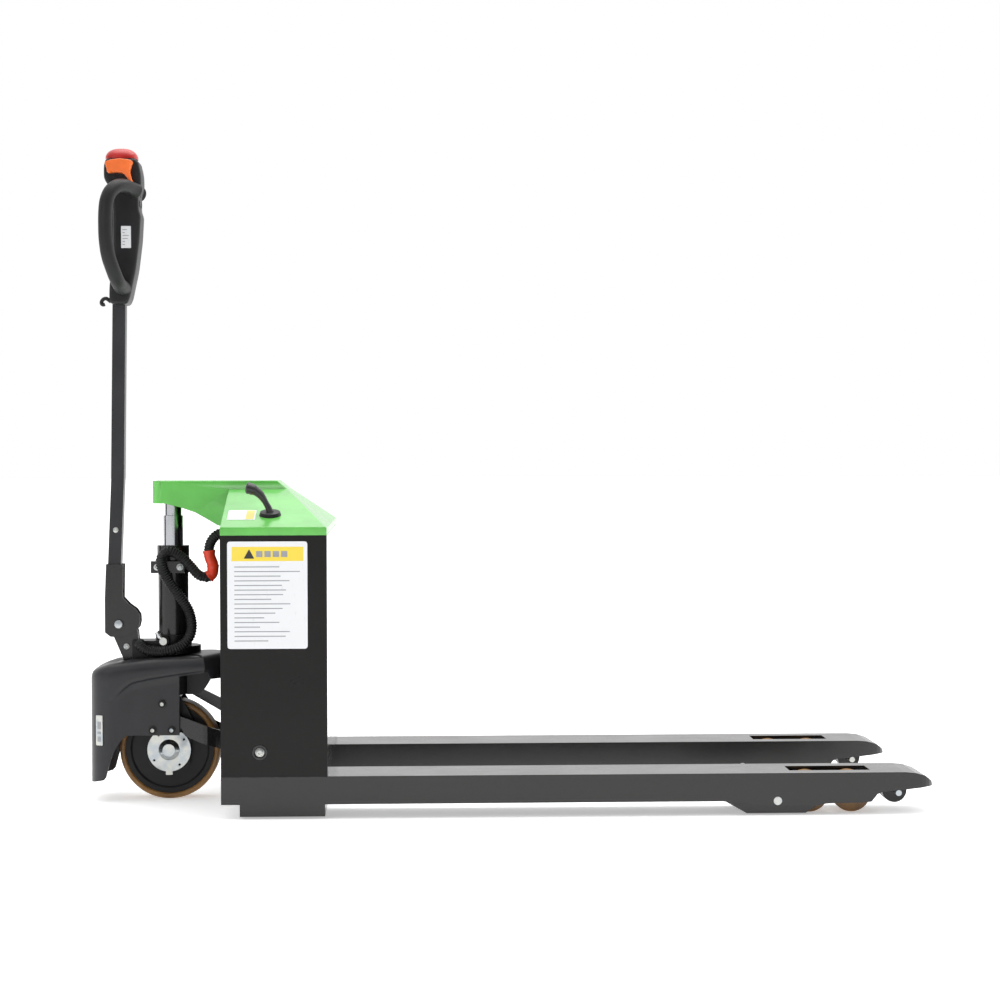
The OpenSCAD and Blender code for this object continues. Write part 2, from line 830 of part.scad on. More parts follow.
module side_plate(y) {
    difference() {
        slab(box_x, heel_x, y, y + side_t, box_seat, box_top);
        ycyl(shaft_r + run, shaft_x, shaft_z, -deep, deep);
    }
}

module side_plate_left() {
    color(black) side_plate(half_w - side_t);
}

module side_plate_right() {
    color(black) side_plate(-half_w);
}

module back_panel() {
    color(black) slab(heel_x - side_t, heel_x, side_t - half_w, half_w - side_t, box_seat, box_top);
}

tray_z = 190;

module front_panel() {
    color(black) slab(box_x + 1, box_x + 5, side_t - half_w, half_w - side_t, tray_z, box_top);
}

module base_frame() {
    y = half_w - side_t;
    color(black) {
        slab(heel_x - 60, heel_x - side_t, -y, y, box_seat, box_seat + 6);
        slab(box_x + 5, heel_x - side_t, -y, y, tray_z, tray_z + 4);
        for (s = [-1, 1]) translate([0, s * 200 - 3, 0])
            slab(heel_x - 80, heel_x - side_t, 0, 6, box_seat + 6, tray_z);
    }
}

module hood_body(t) {
    w = half_w;
    intersection() {
        crosswise(box_x + t, heel_x - t) polygon([
            [-w + t, box_top - (t > 0 ? 5 : 0)], [-w + t, eave_z - t], [-nose_half, roof_edge_z - t],
            [-nose_half + (t > 0 ? t : 0), hood_top - t], [nose_half - (t > 0 ? t : 0), hood_top - t],
            [nose_half, roof_edge_z - t], [w - t, eave_z - t], [w - t, box_top - (t > 0 ? 5 : 0)]
        ]);
        upright(-deep, deep) polygon([
            [box_x - 1, 0], [box_x - 1, hood_top - t], [ridge_back - t / 2, hood_top - t],
            [heel_x - t, eave_z - 2 - t], [heel_x - t, 0]
        ]);
    }
}

module hood_nose(t) {
    w = nose_half - t;
    drop = t > 0 ? 60 : 0;
    corner = 22;
    intersection() {
        upright(-w, w) polygon(concat(
            [[nose_front + t, 623 - drop], [nose_front + t, hood_top - t],
                [box_x + 60, hood_top - t], [box_x + 60, box_top - drop],
                [steer_x + 107, 575 - drop], [steer_x + 98, 578 - drop]],
            [[steer_x + 78, 590 - drop], [steer_x + 53, 604 - drop], [steer_x + 25, 614 - drop],
                [steer_x + 9, 618 - drop], [steer_x - 12, 623 - drop]]
        ));
        linear_extrude(deep * 2) polygon(concat(
            arc([nose_front + corner + t, corner - w], corner, 270, 180),
            arc([nose_front + corner + t, w - corner], corner, 180, 90),
            [[heel_x, w], [heel_x, -w]]
        ));
    }
}

module hood() {
    color(green) difference() {
        union() {
            hood_body(0);
            hood_nose(0);
        }
        hood_body(hood_t);
        hood_nose(hood_t);
        translate([isolator_x, isolator_y, isolator_z]) rotate([roof_tilt, 0, 0])
            translate([0, 0, -20]) cylinder(r = 15, h = 40);
    }
}

module battery() {
    color(graphite) {
        slab(box_x + 16, heel_x - 16, 20, 320, tray_z + 4, tray_z + 264);
        slab(box_x + 60, heel_x - 60, 110, 116, tray_z + 264, tray_z + 284);
        slab(box_x + 60, heel_x - 60, 224, 230, tray_z + 264, tray_z + 284);
        slab(box_x + 60, heel_x - 60, 116, 224, tray_z + 278, tray_z + 284);
    }
}

module power_unit() {
    x = (box_x + heel_x) / 2;
    color(steel) {
        slab(x - 60, x + 60, -310, -150, tray_z + 4, tray_z + 124);
        slab(x - 45, x + 45, -275, -185, tray_z + 124, tray_z + 154);
        zcyl(42, x, -230, tray_z + 154, tray_z + 304);
    }
}

module controller() {
    color(graphite) {
        slab(box_x + 5, box_x + 45, -130, -10, tray_z + 120, tray_z + 280);
        for (y = [-120:15:-20])
            slab(box_x + 45, box_x + 57, y, y + 3, tray_z + 125, tray_z + 275);
    }
}

module lift_rod() {
    piston_r = cyl_d / 2 - 5 - run;
    color(steel) {
        zcyl(piston_r, steer_x, 0, base_z1 + 5, base_z1 + 23);
        zcyl(rod_d / 2, steer_x, 0, base_z1 + 20, rod_shoulder);
        zcyl(18, steer_x, 0, rod_shoulder, rod_top);
        difference() {
            zcyl(27, steer_x, 0, rod_top - 22, rod_top);
            zcyl(18, steer_x, 0, rod_top - 30, rod_top + 1);
        }
    }
}

module cross_shaft() {
    color(steel) {
        ycyl(shaft_r, shaft_x, shaft_z, -half_w, half_w);
    }
}

module isolator_base() {
    color(black) translate([isolator_x, isolator_y, isolator_z]) rotate([roof_tilt, 0, 0]) {
        difference() {
            cylinder(r1 = 22, r2 = 20, h = 7);
            translate([0, 0, -1]) cylinder(r = 7 + run, h = 20);
        }
        difference() {
            translate([0, 0, -30]) cylinder(r = 15 - run, h = 30);
            translate([0, 0, -14]) cylinder(r = 7 + run, h = 20);
        }
    }
}

module isolator_key() {
    color(black) translate([isolator_x, isolator_y, isolator_z]) rotate([roof_tilt, 0, 0]) {
        translate([0, 0, -12]) cylinder(r = 7, h = 26);
        translate([0, 0, 7 + gap]) cylinder(r = 10, h = 8);
        translate([0, 0, 12]) rotate([0, -42, 0]) {
            cylinder(r = 6.5, h = 34);
            translate([-14, -6, 30]) cube([30, 12, 22]);
        }
    }
}

module fork_pins() {
    color(steel) for (s = [-1, 1]) {
        translate([0, s * fork_y, 0]) {
            ycyl(8.5, frame_x, frame_z, -fork_w / 2 + 0.5, fork_w / 2 - 0.5);
            ycyl(6, entry_x, entry_z, -fork_w / 2 + 0.5, fork_w / 2 - 0.5);
        }
    }
}

module loom_chassis() {
    color(black) swept(loom_box_path, loom_r, loom_r);
}

// ---- Lift linkage ----

rocker_half = 300;

// Where the trunnion lies in the rocker's own rest frame when the forks are at height h
function trunnion_at(h) =
    let (reach = norm([arm_run, arm_rise - h]),
        a = atan2(arm_rise - h, arm_run) + arm_turn * h / lift)
    [-reach * cos(a), reach * sin(a)];

module rocker() {
    steps = 8;
    slot_r = link_pin_r + gap;
    lug = [for (h = [0, lift]) trunnion_at(h)];
    module slot() {
        for (i = [0:steps]) translate(trunnion_at(lift * i / steps)) circle(slot_r);
        for (i = [1:steps]) {
            p = trunnion_at(lift * (i - 1) / steps);
            q = trunnion_at(lift * i / steps);
            n = slot_r * [p[1] - q[1], q[0] - p[0]] / norm(q - p);
            polygon([p + n, q + n, q - n, p - n]);
        }
    }
    color(black) translate([shaft_x, 0, shaft_z]) {
        difference() {
            ycyl(shaft_tube_r, 0, 0, -rocker_half, rocker_half);
            ycyl(shaft_r + run, 0, 0, -deep, deep);
        }
        difference() {
            upright(arm_y0, arm_y1) difference() {
                union() {
                    bar(lug[0], 8.5, [0, 0], 16);
                    translate(trunnion_at(lift / 2)) circle(11);
                }
                slot();
            }
            ycyl(shaft_tube_r - 1, 0, 0, -deep, deep);
        }
        for (s = [-1, 1]) for (y = [-22, 14]) difference() {
            upright(s * fork_y + y, s * fork_y + y + 8)
                bar([0, 0], 24, [lever_x - shaft_x, lever_z - shaft_z], 12);
            ycyl(shaft_tube_r - 1, 0, 0, -deep, deep);
        }
        for (s = [-1, 1]) translate([lever_x - shaft_x, 0, lever_z - shaft_z])
            ycyl(eye_r, 0, 0, s * fork_y - 16, s * fork_y + 16);
    }
}

// A push rod in a fork, with a tall eye at each end that gives its pins room to swing
// A flat rod with a tall eye at each end, because the pins rise and fall as they swing
module push_rod(y) {
    module eye(x, z, down, up) {
        slot_r = eye_r + gap + 0.6;
        difference() {
            upright(y - 8, y + 8) translate([x - 12, z - 13]) square([24, 32]);
            upright(y - 9, y + 9) {
                translate([x, z - down]) circle(slot_r);
                translate([x, z + up]) circle(slot_r);
                translate([x - slot_r, z - down]) square([2 * slot_r, down + up]);
            }
        }
    }
    eye(lever_x, lever_z, 3.5, 1);
    eye(rod_eye_x, rod_eye_z, 1, 7.8);
    upright(y - 7, y + 7) polygon([
        [lever_x + 12, lever_z - 7], [rod_eye_x - 12, rod_eye_z - 7],
        [rod_eye_x - 12, rod_eye_z + 7], [lever_x + 12, lever_z + 7]
    ]);
}

module push_rod_left() {
    color(graphite) push_rod(fork_y);
}

module push_rod_right() {
    color(graphite) push_rod(-fork_y);
}

// The frame that swings the rollers down, with two cheeks on one tube
module roller_frame(y) {
    c0 = 42;
    c1 = 48;
    color(black) difference() {
        union() {
            for (a = [-c1, c0]) upright(y + a, y + a + c1 - c0) {
                bar([frame_x, frame_z], 15, [bogie_x, bogie_z], 13);
                bar([frame_x, frame_z], 15, [rod_eye_x, rod_eye_z], 10);
            }
            ycyl(13, frame_x, frame_z, y - c1, y + c1);
            ycyl(eye_r, rod_eye_x, rod_eye_z, y - c1, y + c1);
        }
        ycyl(8.5 + run, frame_x, frame_z, -deep, deep);
        ycyl(8 + run, bogie_x, bogie_z, -deep, deep);
    }
}

module roller_frame_left() {
    roller_frame(fork_y);
}

module roller_frame_right() {
    roller_frame(-fork_y);
}

axle_r = 10;

// The tandem link that carries two load rollers
module bogie(y) {
    b0 = roller_w / 2 + 2;
    b1 = b0 + 6;
    x0 = bogie_x - roller_pitch / 2;
    x1 = bogie_x + roller_pitch / 2;
    color(graphite) {
        for (s = [-1, 1]) {
            a = s > 0 ? b0 : -b1;
            upright(y + a, y + a + b1 - b0) bar([x0, bogie_z], 15, [x1, bogie_z], 15);
            ycyl(8, bogie_x, bogie_z, y + (s > 0 ? b1 : -48), y + (s > 0 ? 48 : -b1));
        }
        for (x = [x0, x1]) ycyl(axle_r, x, bogie_z, y - b1, y + b1);
    }
}

module bogie_left() {
    bogie(fork_y);
}

module bogie_right() {
    bogie(-fork_y);
}

// A moulded tread on a hub, turning on a pin
module roller(x, y, z, r, w, bore) {
    translate([x, y, z]) rotate([90, 0, 0]) rotate_extrude() polygon(concat(
        [[bore + run, -w / 2]],
        arc([r - 3, -w / 2 + 3], 3, -90, 0, 4),
        arc([r - 3, w / 2 - 3], 3, 0, 90, 4),
        [[bore + run, w / 2]]
    ));
}

module load_roller(along, side) {
    color(amber) roller(bogie_x + along * roller_pitch / 2, side * fork_y, bogie_z,
        roller_r, roller_w, axle_r);
}

module front_roller_left() {
    load_roller(-1, 1);
}

module front_roller_right() {
    load_roller(-1, -1);
}

module rear_roller_left() {
    load_roller(1, 1);
}

module rear_roller_right() {
    load_roller(1, -1);
}

module entry_roller_left() {
    color(black) roller(entry_x, fork_y, entry_z, entry_d / 2, 60, 6);
}

module entry_roller_right() {
    color(black) roller(entry_x, -fork_y, entry_z, entry_d / 2, 60, 6);
}

swivel_sleeve();
loom_joint();
drive_frame();
mast_base();
lift_cylinder();
cylinder_clamp();
drive_unit_screws();
hydraulic_fitting();
tiller_lug();
tiller_pin();
tiller_spring();
drive_cover();
motor_flanges();
drive_axle();
motor_stator();
rear_guard();
loom_pump();
drive_tyre();
wheel_hub();
wheel_bearings();
tiller_bracket();
tiller_tube();
head_housing();
grip_left();
grip_right();
belly_button();
throttle_rocker();
horn_button();
lift_button();
lower_button();
fork_left();
fork_right();
side_plate_left();
side_plate_right();
back_panel();
front_panel();
base_frame();
hood();
battery();
power_unit();
controller();
lift_rod();
cross_shaft();
isolator_base();
fork_pins();
loom_chassis();
isolator_key();
rocker();
push_rod_left();
push_rod_right();
roller_frame_left();
roller_frame_right();
bogie_left();
bogie_right();
front_roller_left();
front_roller_right();
rear_roller_left();
rear_roller_right();
entry_roller_left();
entry_roller_right();
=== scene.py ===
# %% [markdown]
# # An electric pallet truck, dressed for its picture
#
# The truck was first built as an exact solid model, with every piece on the body that carries it.
# That model is loaded here as a fixed frame. Each cell below then does one of two things. It gives
# a piece of the frame its finish, or it makes a more detailed piece that stands in for a plain one.
# All lengths are in metres. +X runs to the fork tips, +Y to the truck's left and +Z up.

# %% Load the frame
import math

import bmesh
import bpy
import numpy as np
from mathutils import Matrix, Vector


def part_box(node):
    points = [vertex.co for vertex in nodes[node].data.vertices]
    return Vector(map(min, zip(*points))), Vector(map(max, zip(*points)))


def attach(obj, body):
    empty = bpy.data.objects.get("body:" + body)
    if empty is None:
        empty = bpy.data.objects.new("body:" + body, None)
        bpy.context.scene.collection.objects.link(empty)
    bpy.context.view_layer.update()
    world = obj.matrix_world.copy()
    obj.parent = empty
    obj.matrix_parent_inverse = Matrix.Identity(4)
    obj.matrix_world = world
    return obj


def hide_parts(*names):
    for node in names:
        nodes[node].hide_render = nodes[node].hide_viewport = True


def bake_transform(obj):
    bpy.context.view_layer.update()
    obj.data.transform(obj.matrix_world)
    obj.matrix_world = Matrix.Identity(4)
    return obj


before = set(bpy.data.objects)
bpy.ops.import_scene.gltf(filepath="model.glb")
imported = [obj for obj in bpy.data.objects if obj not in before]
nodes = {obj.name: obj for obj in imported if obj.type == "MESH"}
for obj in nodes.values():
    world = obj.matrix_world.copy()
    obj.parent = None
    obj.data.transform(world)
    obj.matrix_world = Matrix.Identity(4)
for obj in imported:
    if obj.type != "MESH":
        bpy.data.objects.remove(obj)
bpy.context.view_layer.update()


# %% [markdown]
# ## Where things are
#
# A new piece has to sit exactly where the solid model says, so nothing is placed by eye.

# %% Shared places
def middle(node):
    """The centre of a piece's box."""
    low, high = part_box(node)
    return (low + high) / 2


HEEL_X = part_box("side_plate_right")[1].x
BOX_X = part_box("side_plate_right")[0].x
STEER_X = middle("lift_rod").x
WHEEL = middle("drive_axle")
PIVOT = middle("tiller_pin")
SIDE_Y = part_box("side_plate_right")[0].y
SIDES = ((-1, "right"), (1, "left"))
print("steering axis at x =", round(STEER_X, 4), " wheel at", [round(v, 4) for v in WHEEL])

# %% [markdown]
# ## Shader maths as plain expressions
#
# A finish is worked out from a few patterns: a noise, a mask where edges are worn, dust on the faces
# that look up. In the node editor that is a web of Math nodes. Here a small class wraps a node's
# output so that `mask * 0.5 + 0.2` adds the Math nodes itself, which keeps each recipe readable.

# %% A value that Python can calculate with
class Wire:
    """The output of a node. Arithmetic on it adds Math nodes to the same material."""

    def __init__(self, recipe, socket):
        self.recipe, self.socket = recipe, socket

    def maths(self, operation, *values, clamp=False):
        return self.recipe.node("ShaderNodeMath", {"operation": operation, "use_clamp": clamp},
                                dict(enumerate(values)))

    def __add__(self, other): return self.maths("ADD", self, other)
    def __radd__(self, other): return self.maths("ADD", other, self)
    def __sub__(self, other): return self.maths("SUBTRACT", self, other)
    def __rsub__(self, other): return self.maths("SUBTRACT", other, self)
    def __mul__(self, other): return self.maths("MULTIPLY", self, other)

    def clamped(self): return self.maths("MULTIPLY", self, 1.0, clamp=True)

    def between(self, low, high):
        """0 up to low, 1 from high on, and smooth between them."""
        return self.recipe.node("ShaderNodeMapRange", {"interpolation_type": "SMOOTHSTEP"},
                                {"Value": self, "From Min": low, "From Max": high})


# %% [markdown]
# A recipe is one material. Everything that isn't arithmetic goes through its one `node` method: the
# node's type, the settings that must come first, and what its sockets are given. A number that is the
# same all over the surface is set on the shader's own socket when the recipe starts.

# %% A recipe for one finish
class Recipe:
    """One material, and the ways to add nodes to it."""

    def __init__(self, name, **constants):
        self.material = bpy.data.materials.new(name)
        self.material.use_nodes = True
        self.tree = self.material.node_tree
        self.shader = self.tree.nodes["Principled BSDF"]
        for socket, value in constants.items():
            self.shader.inputs[socket.replace("_", " ")].default_value = value
        self.place = self.node("ShaderNodeTexCoord", out="Object")
        self.facing = self.node("ShaderNodeNewGeometry", out="Normal")

    def plug(self, socket, value):
        if isinstance(value, Wire):
            self.tree.links.new(value.socket, socket)
        elif isinstance(value, (tuple, list, Vector)) and len(value) == 3 and socket.type == "RGBA":
            socket.default_value = (*value, 1.0)
        else:
            socket.default_value = value

    def node(self, kind, settings=None, inputs=None, out=0):
        made = self.tree.nodes.new(kind)
        for key, value in (settings or {}).items():
            setattr(made, key, value)
        for key, value in (inputs or {}).items():
            self.plug(made.inputs[key], value)
        return Wire(self, made.outputs[out])

    def noise(self, scale, detail=3.0, rough=0.55, place=None):
        """Smooth random values round 0.5, with scale features to the metre."""
        return self.node("ShaderNodeTexNoise", inputs={
            "Vector": place or self.place, "Scale": scale, "Detail": detail, "Roughness": rough})

    def stretched(self, scale, turn=(0.0, 0.0, 0.0)):
        """The place, scaled differently along each axis, for grain and scratches."""
        return self.node("ShaderNodeMapping", inputs={
            "Vector": self.place, "Rotation": turn, "Scale": scale})

    def part(self, vector, axis):
        return self.node("ShaderNodeSeparateXYZ", inputs={"Vector": vector}, out=axis)

    def blend(self, amount, first, second):
        """first where amount is 0 and second where it is 1, as a colour."""
        return self.node("ShaderNodeMix", {"data_type": "RGBA"}, {0: amount, 6: first, 7: second}, out=2)

    def bump(self, height, distance, strength=1.0, normal=None):
        inputs = {"Height": height, "Distance": distance, "Strength": strength}
        if normal:
            inputs["Normal"] = normal
        return self.node("ShaderNodeBump", inputs=inputs)

    def rounded(self, radius):
        """The surface's direction with every sharp edge eased by radius."""
        return self.node("ShaderNodeBevel", {"samples": 4}, {"Radius": radius})

    def edges(self, rounded):
        """1 along sharp edges and 0 on flat faces."""
        return 1.0 - self.node("ShaderNodeVectorMath", {"operation": "DOT_PRODUCT"},
                               {0: rounded, 1: self.facing}, out="Value")

    def finish(self, **inputs):
        for socket, value in inputs.items():
            self.plug(self.shader.inputs[socket.replace("_", " ")], value)
        return self.material


# %% [markdown]
# ## Powder coat
#
# Nearly all of the steelwork is powder coated. The real coat has a fine orange-peel skin, its gloss
# wanders a little, dust settles on the faces that look up, and it is rubbed thin along the edges that
# pallets and boots touch. A single flat black would hide the plates' shapes, so all four effects are
# mixed from noise, the eased edges and the direction that a face looks in.

# %% Powder coat in black, green and graphite
DUST = (0.42, 0.40, 0.37)


def powder_coat(name, colour, rub, gloss, peel=0.00018, edge=0.0012, dust=0.05, wear=0.8, **constants):
    """colour is the coat, rub what shows where it is worn, gloss its roughness."""
    r = Recipe(name, **{"IOR": 1.5, "Coat_Roughness": 0.12, **constants})
    cloud = r.noise(9.0, 4.0)
    specks = r.noise(420.0, 2.0)
    scratch = r.noise(60.0, 3.0, place=r.stretched((0.5, 6.0, 9.0), (0.0, 0.35, 0.0))).between(0.68, 0.74)
    rounded = r.rounded(edge)
    worn = (r.edges(rounded) * 3.0 * r.noise(75.0, 4.0).between(0.42, 0.66)).clamped() * wear
    settled = r.part(r.facing, 2).between(0.55, 0.95) * r.noise(30.0, 5.0).between(0.35, 0.75) * dust
    shade = r.blend(cloud.between(0.3, 0.7), tuple(c * 0.86 for c in colour), tuple(c * 1.1 for c in colour))
    paint = r.blend(settled, shade, DUST)
    paint = r.blend(scratch * 0.02, paint, DUST)
    skin = r.noise(1 / 0.0016, 1.5) + specks * 0.25
    return r.finish(
        Base_Color=r.blend(worn, paint, rub),
        Roughness=(gloss + (cloud - 0.5) * 0.14 + settled * 0.35 + worn * 0.12 + scratch * 0.01).clamped(),
        Normal=r.bump(skin, peel, 0.35, rounded))


COAT = {
    "black_coat": powder_coat("black_coat", (0.0115, 0.011, 0.0108), (0.10, 0.098, 0.095), 0.22,
                              Coat_Weight=0.10, Specular_IOR_Level=0.45),
    # The box's plates are the same black paint as the forks; this darker, duller copy paints them in shade.
    "shaded_box_coat": powder_coat("shaded_box_coat", (0.0095, 0.0088, 0.0084), (0.08, 0.078, 0.075), 0.30,
                            Coat_Weight=0.05, Specular_IOR_Level=0.18),
    "panel_coat": powder_coat("panel_coat", (0.010, 0.010, 0.011), (0.07, 0.07, 0.07), 0.12, peel=0.00008,
                              dust=0.1, Coat_Weight=0.6),
    "green_coat": powder_coat("green_coat", (0.125, 0.50, 0.085), (0.35, 0.62, 0.30), 0.24, peel=0.00007,
                              edge=0.0030, dust=0.03, wear=0.2, Coat_Weight=0.3),
    "graphite_coat": powder_coat("graphite_coat", (0.026, 0.026, 0.029), (0.12, 0.12, 0.125), 0.34,
                                 edge=0.002, dust=0.06, Specular_IOR_Level=0.35),
    "hub_coat": powder_coat("hub_coat", (0.010, 0.010, 0.0105), (0.10, 0.098, 0.095), 0.36, dust=0.1,
                            Specular_IOR_Level=0.25),
}
print("powder coats:", ", ".join(COAT))

# %% [markdown]
# ## Moulded plastic
#
# The head, the grips, the buttons and the roller at each fork tip are moulded. A mould leaves a fine
# even grain, and hands polish it, so the grain is a bump from small cells and the gloss varies in
# broad patches. Every rounded edge is glossier, and is also painted a little lighter as a painted
# highlight.

# %% Plastics
def moulded(name, colour, gloss, grain=0.0001, grain_size=0.0009, edge=0.0012, **constants):
    r = Recipe(name, **{"IOR": 1.48, **constants})
    cells = r.node("ShaderNodeTexVoronoi", {"feature": "SMOOTH_F1"},
                   {"Vector": r.place, "Scale": 1 / grain_size, "Smoothness": 0.6}, out="Distance")
    hands = r.noise(26.0, 4.0)
    rounded = r.rounded(edge)
    # A mask along the rounded edges: polish in the gloss, and a painted highlight in the colour.
    edge_polish_and_highlight = r.edges(rounded).clamped() * 0.5
    dusty = r.part(r.facing, 2).between(0.5, 1.0) * r.noise(45.0, 4.0).between(0.45, 0.8) * 0.14
    base = r.blend(hands.between(0.3, 0.7), tuple(c * 0.88 for c in colour), tuple(c * 1.12 for c in colour))
    base = r.blend(dusty, base, DUST)
    # The base colour is painted lighter along the rounded edges, a painted highlight.
    return r.finish(
        Base_Color=r.blend(edge_polish_and_highlight * 0.25, base, tuple(min(1.0, c * 2.2 + 0.02) for c in colour)),
        Roughness=(gloss + (hands - 0.5) * 0.2 - edge_polish_and_highlight * 0.12 + dusty * 0.5).clamped(),
        Normal=r.bump(cells, grain, 0.5, rounded))


PLASTIC = {
    "head_plastic": moulded("head_plastic", (0.0125, 0.0125, 0.0138), 0.44, Specular_IOR_Level=0.3),
    "grip_rubber": moulded("grip_rubber", (0.010, 0.010, 0.0108), 0.5, grain=0.00018, grain_size=0.0012,
                           Specular_IOR_Level=0.35),
    "button_plastic": moulded("button_plastic", (0.02, 0.02, 0.021), 0.36, edge=0.0006),
    "throttle_orange": moulded("throttle_orange", (0.86, 0.165, 0.028), 0.34, grain=0.00005),
    "belly_red": moulded("belly_red", (0.42, 0.014, 0.012), 0.34, grain=0.00005, edge=0.002),
    "roller_black": moulded("roller_black", (0.012, 0.012, 0.012), 0.4),
    "battery_case": moulded("battery_case", (0.02, 0.021, 0.026), 0.5),
    "joint_orange": moulded("joint_orange", (0.72, 0.045, 0.012), 0.38, grain=0.00006),
}
print("plastics:", ", ".join(PLASTIC))

# %% [markdown]
# ## Polyurethane tread
#
# The drive wheel and the load rollers carry a cast polyurethane tread. It is a honey-brown, slightly
# glassy rubber. It darkens where it has rolled over dirt, and small cuts and pressed-in grit dull it.

# %% Tread
def tread():
    r = Recipe("amber_tread", IOR=1.5, Subsurface_Weight=0.08, Subsurface_Radius=(0.004, 0.002, 0.0008))
    cloud = r.noise(14.0, 5.0)
    grit = r.noise(260.0, 3.0).between(0.60, 0.72)
    rounded = r.rounded(0.0015)
    honey = r.blend(cloud.between(0.3, 0.7), (0.155, 0.072, 0.016), (0.31, 0.155, 0.04))
    return r.finish(
        Base_Color=r.blend(grit * 0.6, honey, (0.05, 0.038, 0.026)),
        Roughness=(0.34 + (cloud - 0.5) * 0.3 + grit * 0.25).clamped(),
        Normal=r.bump(grit + cloud * 0.5, 0.0002, 0.5, rounded))


TREAD = tread()

# %% [markdown]
# ## Bare and plated metal
#
# Three metals show bare: zinc-plated discs and screws, the chromed lift rod, and ground steel inside
# the wheel. Zinc has a faint yellow-blue cloud and fine turning lines, chrome is nearly a mirror with
# hairline marks along its stroke, and ground steel is plain and a little oily.

# %% Metals
def metal(name, colour, gloss, grain_scale, tint=None, edge=0.0008, grime=0.35):
    r = Recipe(name, Metallic=1.0)
    lines = r.noise(90.0, 4.0, place=r.stretched(grain_scale))
    cloud = r.noise(38.0, 4.0)
    rounded = r.rounded(edge)
    dirt = r.noise(16.0, 5.0).between(0.52, 0.78) * grime
    base = r.blend(cloud.between(0.35, 0.65), colour, tint or colour)
    return r.finish(
        Base_Color=r.blend(dirt, base, (0.12, 0.105, 0.09)),
        Roughness=(gloss + (lines - 0.5) * 0.18 + dirt * 0.35).clamped(),
        Normal=r.bump(lines, 0.00004, 0.6, rounded))


METAL = {
    "zinc": metal("zinc", (0.43, 0.47, 0.50), 0.30, (1.0, 1.0, 14.0), (0.56, 0.56, 0.52)),
    "chrome": metal("chrome", (0.40, 0.41, 0.43), 0.10, (1.0, 1.0, 0.05), grime=0.08),
    "ground_steel": metal("ground_steel", (0.50, 0.50, 0.51), 0.28, (1.0, 1.0, 9.0)),
    "casting": powder_coat("casting", (0.016, 0.016, 0.017), (0.09, 0.09, 0.09), 0.52, peel=0.0006,
                           wear=0.6),
    "spring_steel": metal("spring_steel", (0.32, 0.32, 0.33), 0.34, (1.0, 1.0, 1.0)),
}
print("metals:", ", ".join(METAL))

# %% Finishes of the pieces that keep their own shape
def dress(finish, *names):
    """Gives pieces of the frame their finish."""
    for name in names:
        mesh = nodes[name].data
        mesh.materials.clear()
        mesh.materials.append(finish)


dress(COAT["black_coat"], "fork_left", "fork_right", "base_frame", "rocker", "rear_guard",
      "roller_frame_left", "roller_frame_right", "bogie_left", "bogie_right", "tiller_lug",
      "cylinder_clamp", "lift_cylinder", "tiller_bracket", "tiller_pin")
# The box's plates take the darker copy of the black coat, which is painted shade.
dress(COAT["shaded_box_coat"], "side_plate_left", "side_plate_right", "front_panel")
dress(COAT["panel_coat"], "back_panel")
dress(COAT["green_coat"], "hood")
dress(COAT["graphite_coat"], "drive_cover", "tiller_tube")
dress(COAT["hub_coat"], "wheel_hub", "drive_frame", "mast_base")
dress(PLASTIC["head_plastic"], "head_housing", "isolator_base", "isolator_key", "controller")
dress(PLASTIC["grip_rubber"], "grip_left", "grip_right")
dress(PLASTIC["button_plastic"], "horn_button", "lift_button", "lower_button")
dress(PLASTIC["throttle_orange"], "throttle_rocker")
dress(PLASTIC["belly_red"], "belly_button")
dress(PLASTIC["roller_black"], "entry_roller_left", "entry_roller_right", "loom_pump", "loom_chassis")
dress(PLASTIC["joint_orange"], "loom_joint")
dress(PLASTIC["battery_case"], "battery", "power_unit")
dress(TREAD, "drive_tyre", "front_roller_left", "front_roller_right", "rear_roller_left",
      "rear_roller_right")
dress(METAL["zinc"], "drive_unit_screws", "hydraulic_fitting", "motor_flanges",
      "fork_pins", "cross_shaft", "push_rod_left", "push_rod_right")
dress(METAL["chrome"], "lift_rod")
dress(METAL["ground_steel"], "drive_axle", "motor_stator", "wheel_bearings")
dress(METAL["casting"], "swivel_sleeve")
dress(METAL["spring_steel"], "tiller_spring")
left_bare = [n for n, o in nodes.items() if not o.data.materials or o.data.materials[0] is None]
print("pieces still without a finish:", left_bare)

# %% [markdown]
# ## Making a mesh piece
#
# Every new piece ends the same way: doubled points are merged, the faces are turned outwards, the
# shading is made smooth apart from real corners, and the piece is put on its body. Doing this in one
# place keeps the cells that follow about shape alone.

# %% From points to a finished piece
def piece(name, verts, faces, finish, body, stands_for=(), crease=38.0):
    """A mesh from points and faces, finished, on its body. It may stand for pieces of the frame."""
    mesh = bpy.data.meshes.new(name)
    mesh.from_pydata([tuple(v) for v in verts], [], [tuple(f) for f in faces])
    bm = bmesh.new()
    bm.from_mesh(mesh)
    bmesh.ops.remove_doubles(bm, verts=bm.verts, dist=2e-6)
    bmesh.ops.recalc_face_normals(bm, faces=bm.faces)
    bm.to_mesh(mesh)
    bm.free()
    mesh.shade_smooth()
    mesh.set_sharp_from_angle(angle=math.radians(crease))
    mesh.materials.append(finish)
    made = bpy.data.objects.new(name, mesh)
    bpy.context.scene.collection.objects.link(made)
    if body:
        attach(made, body)
    if stands_for:
        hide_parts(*stands_for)
    return made


def grid_faces(rows, columns, around=False, offset=0):
    """The four-sided faces of rows of points, closed round each row if around."""
    last = columns if around else columns - 1
    return [(offset + r * columns + c, offset + r * columns + (c + 1) % columns,
             offset + (r + 1) * columns + (c + 1) % columns, offset + (r + 1) * columns + c)
            for r in range(rows - 1) for c in range(last)]


